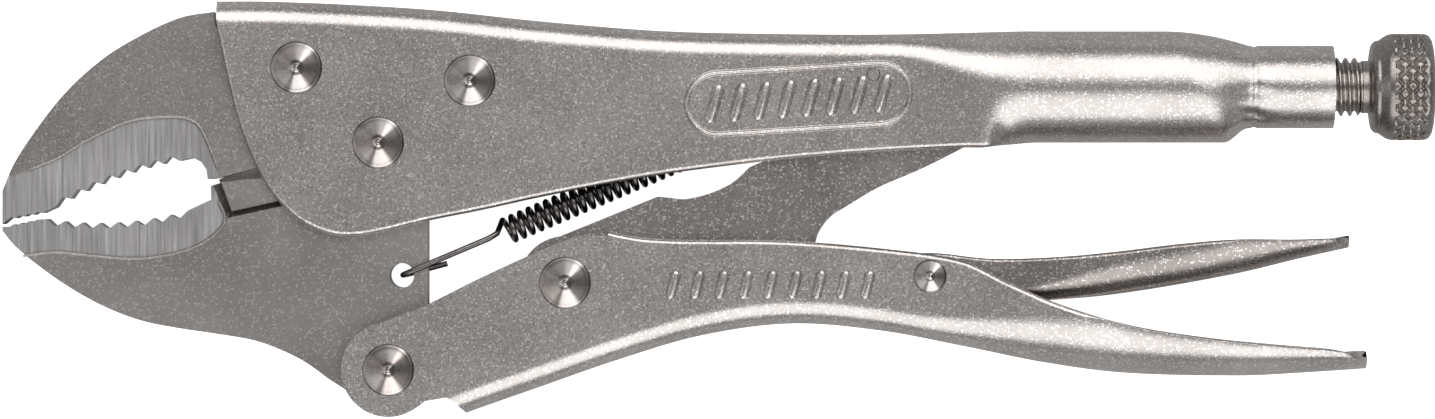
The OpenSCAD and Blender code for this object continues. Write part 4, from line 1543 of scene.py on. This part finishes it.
@dataclass(frozen=True)
class Studio:
    """A white sweep of floor, two long softboxes, a small fill and a camera looking straight down."""

    camera_height: float = 1.369
    camera_x: float = -0.00014
    camera_y: float = -0.00009
    lens: float = 200.0
    floor_drop: float = 0.0006
    room: str = "#9c9c9e"
    room_strength: float = 0.78

    def lay_floor(self) -> None:
        """A pale floor that stays even, and that the metal sees as greyer than the camera does."""
        bpy.ops.object.select_all(action="DESELECT")
        bpy.ops.mesh.primitive_plane_add(size=40, location=(0, 0, -self.floor_drop))
        floor = take_new("floor")
        material = bpy.data.materials.new("white_sweep")
        material.use_nodes = True
        tree = material.node_tree
        tree.nodes.clear()
        seen = add(tree, "ShaderNodeLightPath").outputs["Is Camera Ray"]
        glow = add(tree, "ShaderNodeMapRange", {"Value": seen, "To Min": 0.3, "To Max": 1.0}).outputs[0]
        shade = add(tree, "ShaderNodeMix", {0: seen, 6: linear("#6a6866"), 7: linear("#f4f4f4")},
                    data_type="RGBA").outputs[2]
        shader = add(tree, "ShaderNodeBsdfPrincipled", {
            "Base Color": shade, "Roughness": 0.9, "Emission Color": linear("#ffffff"),
            "Emission Strength": glow})
        out = add(tree, "ShaderNodeOutputMaterial")
        tree.links.new(shader.outputs[0], out.inputs[0])
        floor.data.materials.append(material)

    def light(self) -> None:
        """The room's even light and the softboxes."""
        world = bpy.data.worlds.new("room")
        bpy.context.scene.world = world
        world.use_nodes = True
        world.node_tree.nodes["Background"].inputs[0].default_value = linear(self.room)
        world.node_tree.nodes["Background"].inputs[1].default_value = self.room_strength
        for box in (SoftBox("upper_softbox", (0.15, 0.67, 0.8), (0, 0.02, 0), (1.5, 0.93), 8.0),
                    SoftBox("lower_softbox", (0.1, -0.62, 0.72), (0, 0, 0), (1.3, 0.98), 5.6),
                    SoftBox("left_fill", (-0.9, 0.0, 0.75), (0, 0, 0), (0.5, 0.5), 0.5)):
            box.hang()

    def look(self) -> None:
        """The camera."""
        camera = bpy.data.cameras.new("camera")
        camera.lens = self.lens
        camera.clip_end = 100
        shot = bpy.data.objects.new("camera", camera)
        shot.location = (self.camera_x, self.camera_y, self.camera_height)
        bpy.context.scene.collection.objects.link(shot)
        bpy.context.scene.camera = shot
        bpy.context.scene.view_settings.view_transform = "Standard"

    def build(self) -> None:
        """Sets up the whole studio."""
        self.lay_floor()
        self.light()
        self.look()


def build_anchor_pin(radius: float = ANCHOR_R, half: float = CHEEK_HALF) -> bpy.types.Object:
    """The pin in the fixed handle that holds the spring's rear hook."""
    core, edge = 0.02, 0.25
    profile = [(core, half), (radius - edge, half), (radius, half - edge), (radius, -half + edge),
               (radius - edge, -half), (core, -half)]
    obj = turned("spring_anchor_pin", profile, 48)
    obj.data.transform(Matrix.Translation((*ANCHOR, 0)))
    obj.data.materials.append(finish(SATIN_PLATE))
    return finish_piece(obj, Body.FRAME, "rivet_steel", "spring_anchor_pin")


def main() -> None:
    """Builds every piece and the studio."""
    logging.basicConfig(level=logging.INFO, format="%(message)s")
    FixedHandle().build()
    MovingHandle().build()
    jaws = Jaws()
    jaws.build_fixed()
    jaws.build_moving()
    ToggleLink().build()
    ReleaseLever().build()
    small = {"head_d": 5.6, "shank_d": 3.6, "pip_d": 0.6}
    Rivet("fixed_jaw_rivet_front", Vector(FRONT_RIVET), Body.FRAME).build()
    Rivet("fixed_jaw_rivet_rear", Vector(REAR_RIVET), Body.FRAME).build()
    Rivet("jaw_pivot_rivet", Vector(JAW_PIVOT), Body.FRAME).build()
    Rivet("handle_pivot_rivet", joint_at("handle_swing"), Body.HANDLE).build()
    Rivet("link_rivet", joint_at("link_swing"), Body.HANDLE).build()
    Rivet("lever_rivet", joint_at("lever_press"), Body.HANDLE, **small).build()
    build_anchor_pin()
    Spring().build()
    adjuster = Adjuster()
    adjuster.build_screw()
    adjuster.build_knob()
    Studio().build()


if __name__ == "__main__":
    main()
